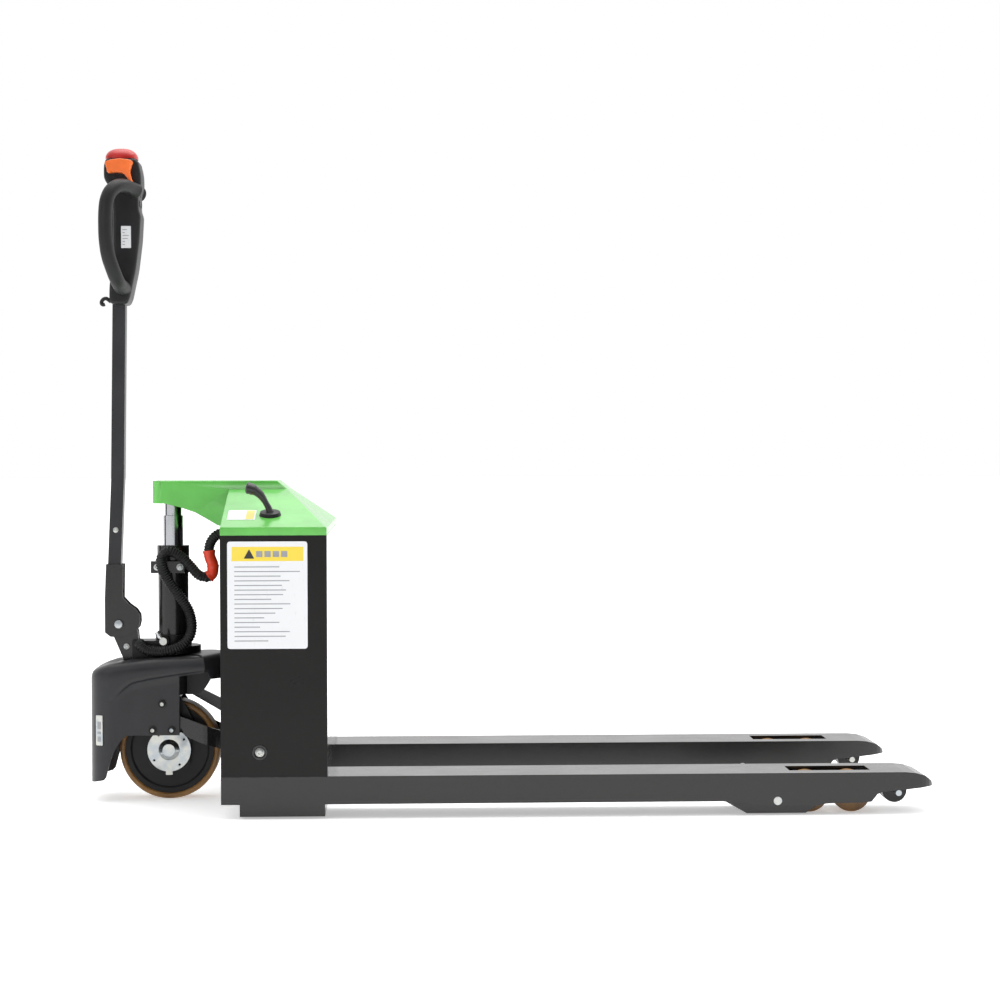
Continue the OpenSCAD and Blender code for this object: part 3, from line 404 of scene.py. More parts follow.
def smooth_path(points, steps=4):
    """A Catmull-Rom curve through the points."""
    p = [Vector(q) for q in points]
    p = [p[0] * 2 - p[1], *p, p[-1] * 2 - p[-2]]
    out = []
    for i in range(1, len(p) - 2):
        for k in range(steps):
            t = k / steps
            out.append(0.5 * ((2 * p[i]) + (p[i + 1] - p[i - 1]) * t
                              + (2 * p[i - 1] - 5 * p[i] + 4 * p[i + 1] - p[i + 2]) * t * t
                              + (3 * p[i] - p[i - 1] - 3 * p[i + 1] + p[i + 2]) * t ** 3))
    return out + [p[-2]]


# %% [markdown]
# ## Plates with soft rims
#
# Moulded and pressed pieces are outlines with some depth whose rims are rounded over. The outline is
# drawn once as seen from the side, and each ring of the loft is the outline drawn in a little while it
# moves outwards along a quarter circle.

# %% A soft-rimmed plate
def drawn_in(outline, amount):
    """The outline with every point moved inwards along its own corner."""
    ring = [Vector(p) for p in outline]
    area = sum(a.x * b.y - b.x * a.y for a, b in zip(ring, ring[1:] + ring[:1]))
    turn = 1 if area > 0 else -1
    out = []
    for i, p in enumerate(ring):
        before, after = (p - ring[i - 1]).normalized(), (ring[(i + 1) % len(ring)] - p).normalized()
        inward = Vector((-(before.y + after.y), before.x + after.x)) * turn
        out.append(p + inward.normalized() * amount if inward.length > 1e-9 else p)
    return out


def soft_plate(name, outline, y0, y1, rim, finish, body, stands_for=(), steps=5, turn=None, crease=38.0):
    """An outline in X and Z, from y0 to y1, with rims of that radius."""
    quarter = [(rim * (1 - math.sin(math.pi / 2 * k / steps)), rim * (1 - math.cos(math.pi / 2 * k / steps)))
               for k in range(steps + 1)]
    levels = [(y0, rim * 1.25)] + [(y0 + across, inset) for inset, across in quarter]
    levels += [(y1 - (y - y0), inset) for y, inset in levels[::-1]]
    count = len(outline)
    verts, faces = [], grid_faces(len(levels), count, around=True)
    for y, inset in levels:
        verts += [Vector((q.x, y, q.y)) for q in drawn_in(outline, inset)]
    faces.append(list(range(count)))
    faces.append([(len(levels) - 1) * count + i for i in range(count)][::-1])
    if turn:
        verts = [turn @ v for v in verts]
    return piece(name, verts, faces, finish, body, stands_for, crease)


def rounded_outline(points, radius, steps=4):
    """A closed outline with each corner replaced by a small arc-like curve."""
    ring = [Vector(p) for p in points]
    out = []
    for i, p in enumerate(ring):
        a, b = ring[i - 1] - p, ring[(i + 1) % len(ring)] - p
        reach = min(radius, a.length * 0.45, b.length * 0.45)
        start, end = p + a.normalized() * reach, p + b.normalized() * reach
        for k in range(steps + 1):
            t = k / steps
            out.append(start * (1 - t) ** 2 + p * 2 * t * (1 - t) + end * t * t)
    return out


# %% [markdown]
# ## The tiller's head
#
# The head is a moulded shell round the top of the tube. Seen from the side it widens upwards, is cut
# back where the thumb reaches the buttons, and every rim is generously rounded, so a soft plate fits.
# The red emergency button is a low dome that caps it, and an orange rocker sets the speed.

# %% Head shell
PX = PIVOT.x


def at_head(points, unit=0.001):
    """Points given in millimetres from the tiller's pivot line and the floor."""
    return [Vector((PX + x * unit, z * unit)) for x, z in points]


HEAD_OUTLINE = at_head([(-14, 1040), (23, 1040), (29, 1052), (42, 1112), (50, 1175), (53, 1226), (48.5, 1238),
                        (48.5, 1268), (54, 1284), (54, 1312), (48, 1338), (42, 1345), (-20, 1345), (-24, 1330),
                        (-24, 1302), (-12, 1285), (-5, 1240), (-5, 1150), (-14, 1075)])
head_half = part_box("head_housing")[1].y
head = soft_plate("tiller_head", rounded_outline(HEAD_OUTLINE, 0.012), -head_half, head_half, 0.0065,
                  PLASTIC["head_plastic"], "tiller", ("head_housing",))

# %% Dome and rocker
def dome(name, x, z, half_x, half_y, levels, finish, body, stands_for):
    """A low dome over a rounded square. Each level is its height and its share of the full size."""
    around = 48
    verts = []
    for height, share in levels:
        for k in range(around):
            a = 2 * math.pi * k / around
            c, s = math.cos(a), math.sin(a)
            verts.append(Vector((x + half_x * share * math.copysign(abs(c) ** 0.62, c),
                                 half_y * share * math.copysign(abs(s) ** 0.62, s), z + height)))
    faces = grid_faces(len(levels), around, around=True)
    faces += [list(range(around)), [(len(levels) - 1) * around + k for k in range(around)]]
    return piece(name, verts, faces, finish, body, stands_for, crease=50.0)


belly_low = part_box("belly_button")[0]
belly = dome("emergency_button", PX + 0.0105, 0.0, 0.0335, 0.036,
             [(belly_low.z + 0.009, 0.72), (1.3450, 0.74), (1.3453, 0.97), (1.3460, 1.0), (1.3490, 1.0),
              (1.3525, 0.985), (1.3565, 0.93), (1.3600, 0.85), (1.3630, 0.74), (1.3655, 0.60), (1.3673, 0.44),
              (1.3684, 0.26), (1.3690, 0.06)], PLASTIC["belly_red"], "belly_button", ("belly_button",))
ROCKER = at_head([(-20, 1335), (-7, 1340), (13, 1342.5), (29, 1340.5), (39.5, 1337), (35, 1325), (32.5, 1314),
                  (36, 1301), (41, 1288), (38.5, 1284.5), (34, 1285), (30, 1297), (25, 1306), (18, 1312.5),
                  (4, 1314.5), (-9, 1313), (-13.5, 1313), (-15.5, 1323)])
wing_y0, wing_y1 = head_half + 0.0006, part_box("throttle_rocker")[1].y
for side, hand in SIDES:
    ys = sorted((side * wing_y0, side * wing_y1))
    soft_plate("throttle_wing_" + hand, rounded_outline(ROCKER, 0.004), *ys, 0.0022,
                            PLASTIC["throttle_orange"], "throttle_rocker")
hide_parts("throttle_rocker")

# %% [markdown]
# ## Grips
#
# Each grip is a loop of soft rubber that leaves the head's side near the top, runs down clear of it
# for the fingers and comes back at its foot. It swells where it joins. A tube of changing size is
# swept along one smooth curve, and the same curve serves both hands.

# %% Swept tube
def swept_tube(name, points, sizes, finish, body, stands_for=(), sides=24, up=(0, 1, 0)):
    """A closed tube along points, sizes being its two half widths at each point."""
    verts, count = [], len(points)
    for i, p in enumerate(points):
        ahead = (points[min(i + 1, count - 1)] - points[max(i - 1, 0)]).normalized()
        first = ahead.cross(Vector(up)).normalized()
        second = ahead.cross(first)
        for k in range(sides):
            a = 2 * math.pi * k / sides
            verts.append(p + first * math.cos(a) * sizes[i][0] + second * math.sin(a) * sizes[i][1])
    faces = grid_faces(count, sides, around=True)
    faces += [list(range(sides)), [(count - 1) * sides + k for k in range(sides)]]
    return piece(name, verts, faces, finish, body, stands_for)


GRIP_PATH = [(41, 35, 1277), (34, 50, 1281), (23, 72, 1284), (10, 93, 1281), (-2, 107, 1269), (-9, 114, 1250),
             (-11.5, 116, 1227), (-12, 116, 1200), (-11, 116, 1170), (-7, 113, 1138), (1, 104, 1110),
             (8, 90, 1089), (12, 64, 1078), (15, 34, 1073)]
GRIP_ACROSS, GRIP_DEEP = 0.0148, 0.0140
for side, hand in SIDES:
    line = smooth_path([(PX + x / 1000, side * y / 1000, z / 1000) for x, y, z in GRIP_PATH], 6)
    n = len(line) - 1
    swell = [1 + 0.22 * max(0.0, 1 - min(i, n - i) / 9) ** 2 for i in range(n + 1)]
    grip = swept_tube("grip_loop_" + hand, line, [(GRIP_ACROSS * s, GRIP_DEEP * s) for s in swell],
                      PLASTIC["grip_rubber"], "tiller", ("grip_" + hand,))
print("grip loops:", len(line), "rings each")

# %% [markdown]
# ## The drive cover
#
# The cover over the drive wheel is one pressing. A rounded shoulder runs all round its top and bulges
# over the flat side panels, the front wraps down into a skirt, and the back is cut high to clear the
# linkage. Its plan is walked round once. At each station a profile drops from the top, over the
# shoulder and down the panel, and the share of the shoulder's step fades out towards the front.

# %% Plan of the cover
def cover_plan():
    """Stations round the cover from the front to the back on one side: place, outward direction."""
    front, half, corner, back, reach = -0.168, 0.092, 0.045, 0.111, 0.117
    stations = [(front, -y, -1.0, 0.0) for y in (0.0, 0.012, 0.024, 0.036)]
    for k in range(0, 13):
        a = math.pi / 2 * k / 12
        stations.append((front + corner - corner * math.cos(a), -(half - corner) - corner * math.sin(a),
                         -math.cos(a), -math.sin(a)))
    edge = math.sqrt(reach ** 2 - half ** 2)
    stations += [(x, -half, 0.0, -1.0) for x in (
        -0.116, -0.110, -0.104, -0.098, -0.092, -0.084, -0.074, -0.064, -0.0636, -0.050, -0.035, -0.020, -0.005,
        0.008, 0.0186, 0.019, 0.030, 0.042, 0.055, 0.066)]
    for k in range(0, 9):
        a = math.atan2(half, edge) * (1 - k / 8) + math.acos(back / reach) * k / 8
        stations.append((reach * math.cos(a), -reach * math.sin(a), math.cos(a), -math.sin(a)))
    stations += [(back, -y, 1.0, 0.0) for y in (0.028, 0.020, 0.010, 0.0)]
    return stations


def between(x, pairs):
    """A value read off straight lines between (x, value) pairs."""
    return float(np.interp(x, [p[0] for p in pairs], [p[1] for p in pairs]))


TOP_LINE = [(-0.168, 0.2800), (-0.150, 0.2850), (-0.132, 0.2885), (-0.077, 0.2955), (-0.009, 0.3015),
            (0.058, 0.3045), (0.111, 0.3085)]
SHOULDER_LINE = [(-0.168, 0.200), (-0.110, 0.222), (-0.096, 0.236), (-0.080, 0.248), (-0.040, 0.2565),
                 (0.019, 0.2655), (0.085, 0.2745), (0.111, 0.2760)]
SKIRT = {-1: [(-0.168, 0.040), (-0.136, 0.047), (-0.1295, 0.070), (-0.121, 0.096), (-0.110, 0.118),
              (-0.098, 0.134), (-0.090, 0.139), (0.0188, 0.139), (0.0189, 0.262), (0.080, 0.271), (0.084, 0.256),
              (0.111, 0.256)],
         1: [(-0.168, 0.040), (-0.136, 0.047), (-0.1295, 0.070), (-0.121, 0.096), (-0.104, 0.126),
             (-0.066, 0.149), (-0.0638, 0.149), (-0.0637, 0.252), (0.019, 0.262), (0.080, 0.271), (0.111, 0.281)]}


# %% Shape of the cover
def cover_half(side):
    """The rows of points of one half of the cover, from the mast's opening out and down."""
    rows = []
    for x, y, nx, ny in cover_plan():
        top, shoulder = between(x, TOP_LINE), between(x, SHOULDER_LINE)
        foot = between(x, SKIRT[side])
        step = min(1.0, max(0.0, (x + 0.125) / 0.045)) * 0.0085
        step *= min(1.0, max(0.0, (0.088 - x) / 0.03)) if x > 0.055 else 1.0
        if x <= -0.1:
            inner = (-0.1103, max(-0.0343, y * 0.37))
        elif x < 0.016:
            inner = (max(-0.1103, min(x, 0.016)), -0.0343)
        else:
            a = math.atan2(y, x)
            inner = (0.0384 * math.cos(a), 0.0384 * math.sin(a))
        drop = [(0.030, 0.0), (0.020, 0.0003), (0.013, 0.0016), (0.0075, 0.0045), (0.0035, 0.0090),
                (0.0010, 0.0150), (0.0, 0.0220)]
        points = [Vector((inner[0], inner[1], top)),
                  Vector(((inner[0] + x - nx * 0.03) / 2, (inner[1] + y - ny * 0.03) / 2, top + 0.0002))]
        points += [Vector((x - nx * d, y - ny * d, top - h)) for d, h in drop]
        edge = max(shoulder, foot)
        for share in (0.35, 0.7):
            points.append(Vector((x, y, (top - 0.022) * (1 - share) + (edge + 0.006) * share)))
        lip = [(0.0, 0.006), (0.12, 0.003), (0.45, 0.0008), (0.85, -0.0008), (1.0, -0.0040)]
        for share, height in lip:
            points.append(Vector((x - nx * step * share, y - ny * step * share, max(edge + height, foot))))
        inset = step
        below = max(edge - 0.004, foot)
        for k in range(1, 9):
            z = below * (1 - k / 8) + foot * k / 8
            points.append(Vector((x - nx * inset, y - ny * inset, z)))
        rows.append([Vector((STEER_X + p.x, -side * p.y, p.z)) for p in points])
    return rows


def thick_sheet(name, rows_list, thickness, finish, body, stands_for=()):
    """Sheets of points joined along shared edges, given a thickness inwards."""
    verts, faces = [], []
    for rows in rows_list:
        base, columns = len(verts), len(rows[0])
        for row in rows:
            verts += row
        faces += grid_faces(len(rows), columns, offset=base)
    made = piece(name, verts, faces, finish, None, crease=32.0)
    outward = max(made.data.polygons, key=lambda f: f.center.z)
    if outward.normal.z < 0:
        made.data.flip_normals()
    solid = made.modifiers.new("thickness", "SOLIDIFY")
    solid.thickness, solid.offset, solid.use_even_offset = thickness, -1.0, False
    flat = bpy.data.meshes.new_from_object(made.evaluated_get(bpy.context.evaluated_depsgraph_get()))
    made.modifiers.clear()
    made.data = flat
    made.data.shade_smooth()
    made.data.set_sharp_from_angle(angle=math.radians(32.0))
    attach(made, body)
    if stands_for:
        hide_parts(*stands_for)
    return made


cover = thick_sheet("drive_cover_pressing", [cover_half(-1), cover_half(1)], 0.0035, COAT["graphite_coat"],
                    "drive_unit", ("drive_cover",))
print("cover:", len(cover.data.polygons), "faces, box", [round(c, 3) for c in cover.dimensions])

# %% [markdown]
# ## The hood
#
# The green hood is folded and welded sheet whose outer edges are all rolled over. Its flat faces and
# openings are already exact in the solid model, so its own mesh is copied, flat triangles are joined
# back into whole faces, and a narrow bevel rolls each outer edge between two broad faces. The edges of
# narrow faces stay sharp.

# %% Hood with rolled edges
def rolled_copy(name, node, width, finish, body, steps=4, sharper=8.0, broad=0.009):
    """A copy of a piece of the frame whose outer edges between broad faces are rolled over."""
    bm = bmesh.new()
    bm.from_mesh(nodes[node].data)
    bmesh.ops.remove_doubles(bm, verts=bm.verts, dist=1e-5)
    bmesh.ops.dissolve_limit(bm, angle_limit=math.radians(1.0), verts=bm.verts, edges=bm.edges)

    def breadth(face):
        return face.calc_area() / max(e.calc_length() for e in face.edges)

    def convex(edge):
        return len(edge.link_faces) == 2 and edge.calc_face_angle_signed(0) > math.radians(sharper)

    outer = [e for e in bm.edges if convex(e) and min(breadth(f) for f in e.link_faces) > broad]
    bmesh.ops.bevel(bm, geom=outer, offset=width, offset_type="OFFSET", segments=steps, profile=0.5,
                    affect="EDGES", clamp_overlap=False)
    bmesh.ops.triangulate(bm, faces=[f for f in bm.faces if len(f.verts) > 4])
    mesh = bpy.data.meshes.new(name)
    bm.to_mesh(mesh)
    bm.free()
    mesh.shade_smooth()
    mesh.set_sharp_from_angle(angle=math.radians(30.0))
    mesh.materials.append(finish)
    made = bpy.data.objects.new(name, mesh)
    bpy.context.scene.collection.objects.link(made)
    weighted = made.modifiers.new("even_shading", "WEIGHTED_NORMAL")
    weighted.keep_sharp = True
    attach(made, body)
    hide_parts(node)
    print(name, len(outer), "edges rolled,", len(mesh.polygons), "faces")
    return made


hood = rolled_copy("hood_shell", "hood", 0.0018, COAT["green_coat"], "chassis")

# %% [markdown]
# ## Geometry Nodes for what repeats
#
# Screw heads, weld beads, printed lines and the ribs of the cable sleeve are all one small shape put
# down many times. A Geometry Nodes tree does that from a few named inputs, so changing one number
# changes them all. Each tree is applied at once, and what is kept is a plain mesh.

# %% Building and applying a tree
class Tree:
    """A Geometry Nodes tree with named inputs."""

    def __init__(self, name, **inputs):
        self.group = bpy.data.node_groups.new(name, "GeometryNodeTree")
        self.group.interface.new_socket("Geometry", in_out="INPUT", socket_type="NodeSocketGeometry")
        self.keys = {}
        for label, value in inputs.items():
            kind = "NodeSocketInt" if isinstance(value, int) else "NodeSocketFloat"
            socket = self.group.interface.new_socket(label, in_out="INPUT", socket_type=kind)
            socket.default_value = value
            self.keys[label] = socket.identifier
        self.group.interface.new_socket("Geometry", in_out="OUTPUT", socket_type="NodeSocketGeometry")
        self.start = self.group.nodes.new("NodeGroupInput")
        self.end = self.group.nodes.new("NodeGroupOutput")

    def given(self, label):
        return self.start.outputs[label]

    def node(self, kind, settings=None, inputs=None, out=0):
        made = self.group.nodes.new(kind)
        for key, value in (settings or {}).items():
            setattr(made, key, value)
        for key, value in (inputs or {}).items():
            if isinstance(value, bpy.types.NodeSocket):
                self.group.links.new(value, made.inputs[key])
            else:
                made.inputs[key].default_value = value
        return made.outputs[out]

    def maths(self, operation, *values):
        return self.node("ShaderNodeMath", {"operation": operation}, dict(enumerate(values)))

    def finish(self, geometry, finish):
        real = self.node("GeometryNodeRealizeInstances", inputs={"Geometry": geometry})
        done = self.node("GeometryNodeSetMaterial", inputs={"Geometry": real})
        done.node.inputs["Material"].default_value = finish
        self.group.links.new(done, self.end.inputs[0])

    def apply(self, name, points, body, edges=(), directions=None, **values):
        """Runs the tree on points, with these input values, and keeps the mesh on its body."""
        carrier = bpy.data.meshes.new(name)
        carrier.from_pydata([tuple(p) for p in points], list(edges), [])
        if directions is not None:
            way = carrier.attributes.new("way", "FLOAT_VECTOR", "POINT")
            way.data.foreach_set("vector", [c for d in directions for c in d])
        made = bpy.data.objects.new(name, carrier)
        bpy.context.scene.collection.objects.link(made)
        live = made.modifiers.new("tree", "NODES")
        live.node_group = self.group
        for label, value in values.items():
            live[self.keys[label]] = value
        flat = bpy.data.meshes.new_from_object(made.evaluated_get(bpy.context.evaluated_depsgraph_get()))
        made.modifiers.remove(live)
        made.data = flat
        bpy.data.meshes.remove(carrier)
        flat.shade_smooth()
        flat.set_sharp_from_angle(angle=math.radians(32.0))
        if body:
            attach(made, body)
        return made


# %% [markdown]
# ## Screw heads
#
# The screws that show are zinc-plated with a round head and a hexagon recess, on a flat washer. One
# head is modelled by turning a short profile, and the tree puts it wherever a point says, facing the
# way that the point's own direction gives.

# %% Screw heads at points
def screw_mesh():
    """A round head of radius 1 on a washer, standing on z = 0, with a six-sided recess."""
    hexagon, across, floor_z = None, 0.5, 0.45
    profile = [(1.36, 0.0), (1.36, 0.17), (1.30, 0.22), (0.98, 0.22), (1.0, 0.30), (1.0, 0.78), (0.93, 0.92),
               (0.80, 1.0), (hexagon, 1.0)]
    around, verts = 24, []
    for radius, z in profile:
        for k in range(around):
            a = 2 * math.pi * k / around
            r = radius or across / math.cos((a + math.pi / 6) % (math.pi / 3) - math.pi / 6)
            verts.append((math.cos(a) * r, math.sin(a) * r, z))
    faces = grid_faces(len(profile), around, around=True)
    rim, floor_at = (len(profile) - 1) * around, len(verts)
    for k in range(around):
        x, y, _ = verts[rim + k]
        verts.append((x * 0.96, y * 0.96, floor_z))
    for k in range(around):
        after = (k + 1) % around
        faces.append((rim + k, rim + after, floor_at + after, floor_at + k))
    faces.append([floor_at + k for k in range(around)])
    return piece("screw_pattern", verts, faces, METAL["zinc"], None)


pattern = screw_mesh()
screws = Tree("screw_heads", head_radius=0.005, head_height=0.004)
way = screws.node("GeometryNodeInputNamedAttribute", {"data_type": "FLOAT_VECTOR"}, {"Name": "way"})
turn = screws.node("FunctionNodeAlignRotationToVector", {"axis": "Z"}, {"Vector": way})
model = screws.node("GeometryNodeObjectInfo", inputs={"Object": pattern}, out="Geometry")
size = screws.node("ShaderNodeCombineXYZ", inputs={
    "X": screws.given("head_radius"), "Y": screws.given("head_radius"), "Z": screws.given("head_height")})
placed = screws.node("GeometryNodeInstanceOnPoints", inputs={
    "Points": screws.start.outputs[0], "Instance": model, "Rotation": turn, "Scale": size})
screws.finish(placed, METAL["zinc"])

RIGHT, LEFT = (0.0, -1.0, 0.0), (0.0, 1.0, 0.0)
SHAFT = middle("cross_shaft")
cover_screws = screws.apply(
    "cover_screws", [(STEER_X + x, -0.0838, z) for x, z in ((-0.0175, 0.2047), (-0.0375, 0.1497), (0.002, 0.1497))],
    "drive_unit", directions=[RIGHT] * 3, head_radius=0.0048, head_height=0.0042)
clamp_screws = screws.apply(
    "clamp_screws", [(STEER_X + x, -0.0462, 0.4885) for x in (-0.030, 0.018)],
    "drive_unit", directions=[RIGHT] * 2, head_radius=0.0052, head_height=0.0042)
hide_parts("drive_unit_screws")
shaft_screws = screws.apply(
    "shaft_screws", [(SHAFT.x, s * (abs(SIDE_Y) - 0.0053), SHAFT.z) for s in (-1, 1)],
    "chassis", directions=[RIGHT, LEFT], head_radius=0.0068, head_height=0.0048)
tube_screws = screws.apply(
    "tube_screws", [(PX - 0.0055, s * 0.0171, 0.566) for s in (-1, 1)],
    "tiller", directions=[RIGHT, LEFT], head_radius=0.0042, head_height=0.0026)
lug_screws = screws.apply("lug_screws", [(PX + 0.0156, s * 0.0168, 0.320) for s in (-1, 1)], "drive_unit",
                          directions=[RIGHT, LEFT], head_radius=0.0045, head_height=0.0035)
bpy.data.objects.remove(pattern)
print("screws:", sum(len(o.data.polygons) for o in (cover_screws, clamp_screws, shaft_screws)), "faces")

# %% [markdown]
# ## Pin ends and the cross shaft
#
# The cross shaft ends flush in the side plate and is dished round its screw, and the tiller's pivot
# pin has a low domed head. Both are turned shapes, made from a short profile spun round an axis.

# %% Turned parts
def turned(name, profile, place, way, finish, body, stands_for=(), around=40):
    """A profile of (radius, height) pairs spun round an axis through place."""
    turn = Vector(way).to_track_quat("Z", "X").to_matrix()
    verts = [Vector(place) + turn @ Vector((r * math.cos(2 * math.pi * k / around),
                                            r * math.sin(2 * math.pi * k / around), z))
             for r, z in profile for k in range(around)]
    faces = grid_faces(len(profile), around, around=True)
    faces += [list(range(around)), [(len(profile) - 1) * around + k for k in range(around)]]
    return piece(name, verts, faces, finish, body, stands_for)


def domed_pin(name, place, way, radius, finish, body):
    """The low domed head of a pin."""
    return turned(name, [(radius * 0.2, 0.0), (radius, 0.0), (radius, 0.0016), (radius * 0.9, 0.0026),
                         (radius * 0.3, 0.0030)], place, way, finish, body)


SHAFT_LOW, SHAFT_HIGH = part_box("cross_shaft")
shaft_r, shaft_l, dish_r, dish = (SHAFT_HIGH.z - SHAFT_LOW.z) / 2, SHAFT_HIGH.y - SHAFT_LOW.y, 0.0112, 0.0054
one_end = [(dish_r, dish), (dish_r, 0.0008), (dish_r + 0.0008, 0.0), (shaft_r - 0.001, 0.0), (shaft_r, 0.001)]
shaft = turned("cross_shaft_dished", one_end + [(r, shaft_l - z) for r, z in one_end[::-1]],
               (SHAFT.x, SHAFT_LOW.y, SHAFT.z), LEFT, COAT["black_coat"], "chassis", ("cross_shaft",))
for (side, hand), way_out, edge in zip(SIDES, (RIGHT, LEFT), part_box("tiller_pin")):
    domed_pin("tiller_pin_head_" + hand, (PX, edge.y - side * 0.0012, PIVOT.z), way_out, 0.0088,
                          METAL["zinc"], "drive_unit")

# %% [markdown]
# ## The cable sleeve
#
# The wires and the hose from the box run to the pump in a corrugated sleeve with a moulded joint
# where two lengths meet. The corrugation is a rule: the radius rises and falls evenly along the path,
# and that is what the tree does. The sleeve crosses the lift and the steering. Its two lengths stay
# where they are made, on no body, and only the joint is put on the swivel.

# %% Corrugated sleeve
sleeve = Tree("corrugated_sleeve", radius=0.0104, rib_depth=0.0009, rib_pitch=0.0052, sides=16)
line = sleeve.node("GeometryNodeMeshToCurve", inputs={"Mesh": sleeve.start.outputs[0]})
length = sleeve.node("GeometryNodeCurveLength", inputs={"Curve": line})
per_rib = sleeve.maths("DIVIDE", length, sleeve.given("rib_pitch"))
RINGS_PER_RIB = 6.0
rings = sleeve.maths("MULTIPLY", per_rib, RINGS_PER_RIB)
evened = sleeve.node("GeometryNodeResampleCurve", inputs={"Curve": line, "Count": rings})
along = sleeve.node("GeometryNodeSplineParameter", out="Length")
phase = sleeve.maths("DIVIDE", along, sleeve.given("rib_pitch"))
angle = sleeve.maths("MULTIPLY", phase, 2 * math.pi)
wave = sleeve.maths("SINE", angle)
rise = sleeve.maths("MULTIPLY", wave, sleeve.given("rib_depth"))
ribbed = sleeve.maths("ADD", rise, sleeve.given("radius"))
ring = sleeve.node("GeometryNodeCurvePrimitiveCircle", inputs={"Resolution": sleeve.given("sides"), "Radius": 1.0})
tube = sleeve.node("GeometryNodeCurveToMesh", inputs={
    "Curve": evened, "Profile Curve": ring, "Fill Caps": True, "Scale": ribbed})
sleeve.finish(tube, PLASTIC["grip_rubber"])


def at_steer(points):
    """Points given in millimetres from the steering axis."""
    return [Vector((STEER_X + x / 1000, y / 1000, z / 1000)) for x, y, z in points]


BOX_RUN = at_steer([(123, -60, 560), (112, -60, 561), (100, -60, 558), (89, -60, 549), (82, -60, 536),
                    (80, -60, 522), (81, -60, 515)])
JOINT_RUN = at_steer([(80, -60, 524), (82, -60, 510), (87, -60, 497), (88, -60, 485), (86, -60, 475),
                      (79, -60, 469)])
PUMP_RUN = at_steer([(81, -60, 469.5), (75, -60, 468), (68.8, -60, 469.2), (62, -60, 470.8), (54, -60, 476.5),
                     (46, -60, 486), (36, -59, 497), (24, -57, 508.5), (11, -56, 517.5),
                     (-2, -55, 521.5), (-13, -55, 518), (-20, -56, 508),
                     (-20, -58, 494), (-15, -58, 478), (-6, -57, 461), (5, -55, 445), (16, -53, 430),
                     (27, -51, 414), (36, -50, 398), (41, -50, 381), (43, -54, 364), (40, -58, 347),
                     (31, -62, 333), (18, -65, 323), (3, -67, 317), (-13, -66, 314), (-29, -62, 312),
                     (-44, -57, 313), (-56, -52, 317), (-64, -47, 323), (-67, -41, 327), (-67, -34, 327)])


def run_sleeve(name, points, stands_for):
    smooth = smooth_path(points, 5)
    made = sleeve.apply(name, smooth, None, edges=[(i, i + 1) for i in range(len(smooth) - 1)])
    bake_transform(made)
    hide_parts(stands_for)
    print(name, len(made.data.polygons), "faces")


run_sleeve("sleeve_to_box", BOX_RUN, "loom_chassis")
run_sleeve("sleeve_to_pump", PUMP_RUN, "loom_pump")
joint_line = smooth_path(JOINT_RUN, 4)
n = len(joint_line) - 1
cable_joint = swept_tube("sleeve_joint", joint_line,
                         [(0.0118 + (0.0014 if i in (0, 1, n - 1, n) or abs(i - n / 2) < 1 else 0.0),) * 2
                          for i in range(n + 1)], PLASTIC["joint_orange"], "swivel", ("loom_joint",))

# %% [markdown]
# ## The isolator's key
#
# A removable key switches the battery off. It has a thick moulded handle on a bent stem over a flat
# dial. The handle is a short swept tube that swells to a knob, square to the roof.

# %% Key and dial
DIAL = middle("isolator_base")
key_line = smooth_path([(HEEL_X + x, DIAL.y, z) for x, z in (
    (-0.1165, 0.6060), (-0.1180, 0.6150), (-0.1230, 0.6250), (-0.1300, 0.6370), (-0.1370, 0.6460),
    (-0.1450, 0.6520), (-0.1530, 0.6560), (-0.1600, 0.6580), (-0.1650, 0.6590))], 5)
n = len(key_line) - 1
KNOB = [(0.0, 0.0062), (0.12, 0.0066), (0.3, 0.0060), (0.5, 0.0085), (0.62, 0.0092), (0.7, 0.0112), (0.9, 0.0118),
        (0.97, 0.0098), (1.0, 0.0060)]
thick = [between(i / n, KNOB) for i in range(n + 1)]
key = swept_tube("isolator_key_handle", key_line, [(t, t * 1.25) for t in thick], PLASTIC["button_plastic"],
                 "isolator_key", ("isolator_key",), sides=20)
print("key:", [round(v, 3) for v in key.dimensions])

# %% [markdown]
# ## Labels
#
# The notice on the side plate, the small plates on the head and the hood, and the badge on the cover
# are printed film. Each is a thin sheet with round corners. Print too small to read is drawn as plain
# bars, put down in rows by a tree with a fixed seed, so the notice says nothing.

# %% Film and print
def film(name, colour, gloss):
    r = Recipe(name, Coat_Weight=0.25)
    cloud = r.noise(35.0, 3.0)
    scuff = r.noise(180.0, 3.0, place=r.stretched((1.0, 1.0, 0.3))).between(0.62, 0.74)
    base = r.blend(cloud * 0.25, colour, tuple(c * 0.88 for c in colour))
    return r.finish(Base_Color=r.blend(scuff * 0.2, base, (0.5, 0.49, 0.47)),
                    Roughness=(gloss + (cloud - 0.5) * 0.15 + scuff * 0.1).clamped(),
                    Normal=r.bump(cloud, 0.0001, 0.3))


FILM = {"white_film": film("white_film", (0.80, 0.81, 0.83), 0.34),
        "yellow_film": film("yellow_film", (0.86, 0.66, 0.06), 0.34),
        "grey_print": film("grey_print", (0.30, 0.31, 0.33), 0.4),
        "black_print": film("black_print", (0.015, 0.015, 0.015), 0.4)}


def sheet_on_side(name, x0, x1, z0, z1, y, thick, corner, finish, body):
    """A thin sheet with round corners that faces right, its back at y."""
    ring = rounded_outline([Vector((x0, z0)), Vector((x1, z0)), Vector((x1, z1)), Vector((x0, z1))], corner)
    ys = sorted((y, y - thick))
    return soft_plate(name, ring, *ys, thick * 0.3, finish, body, steps=1)


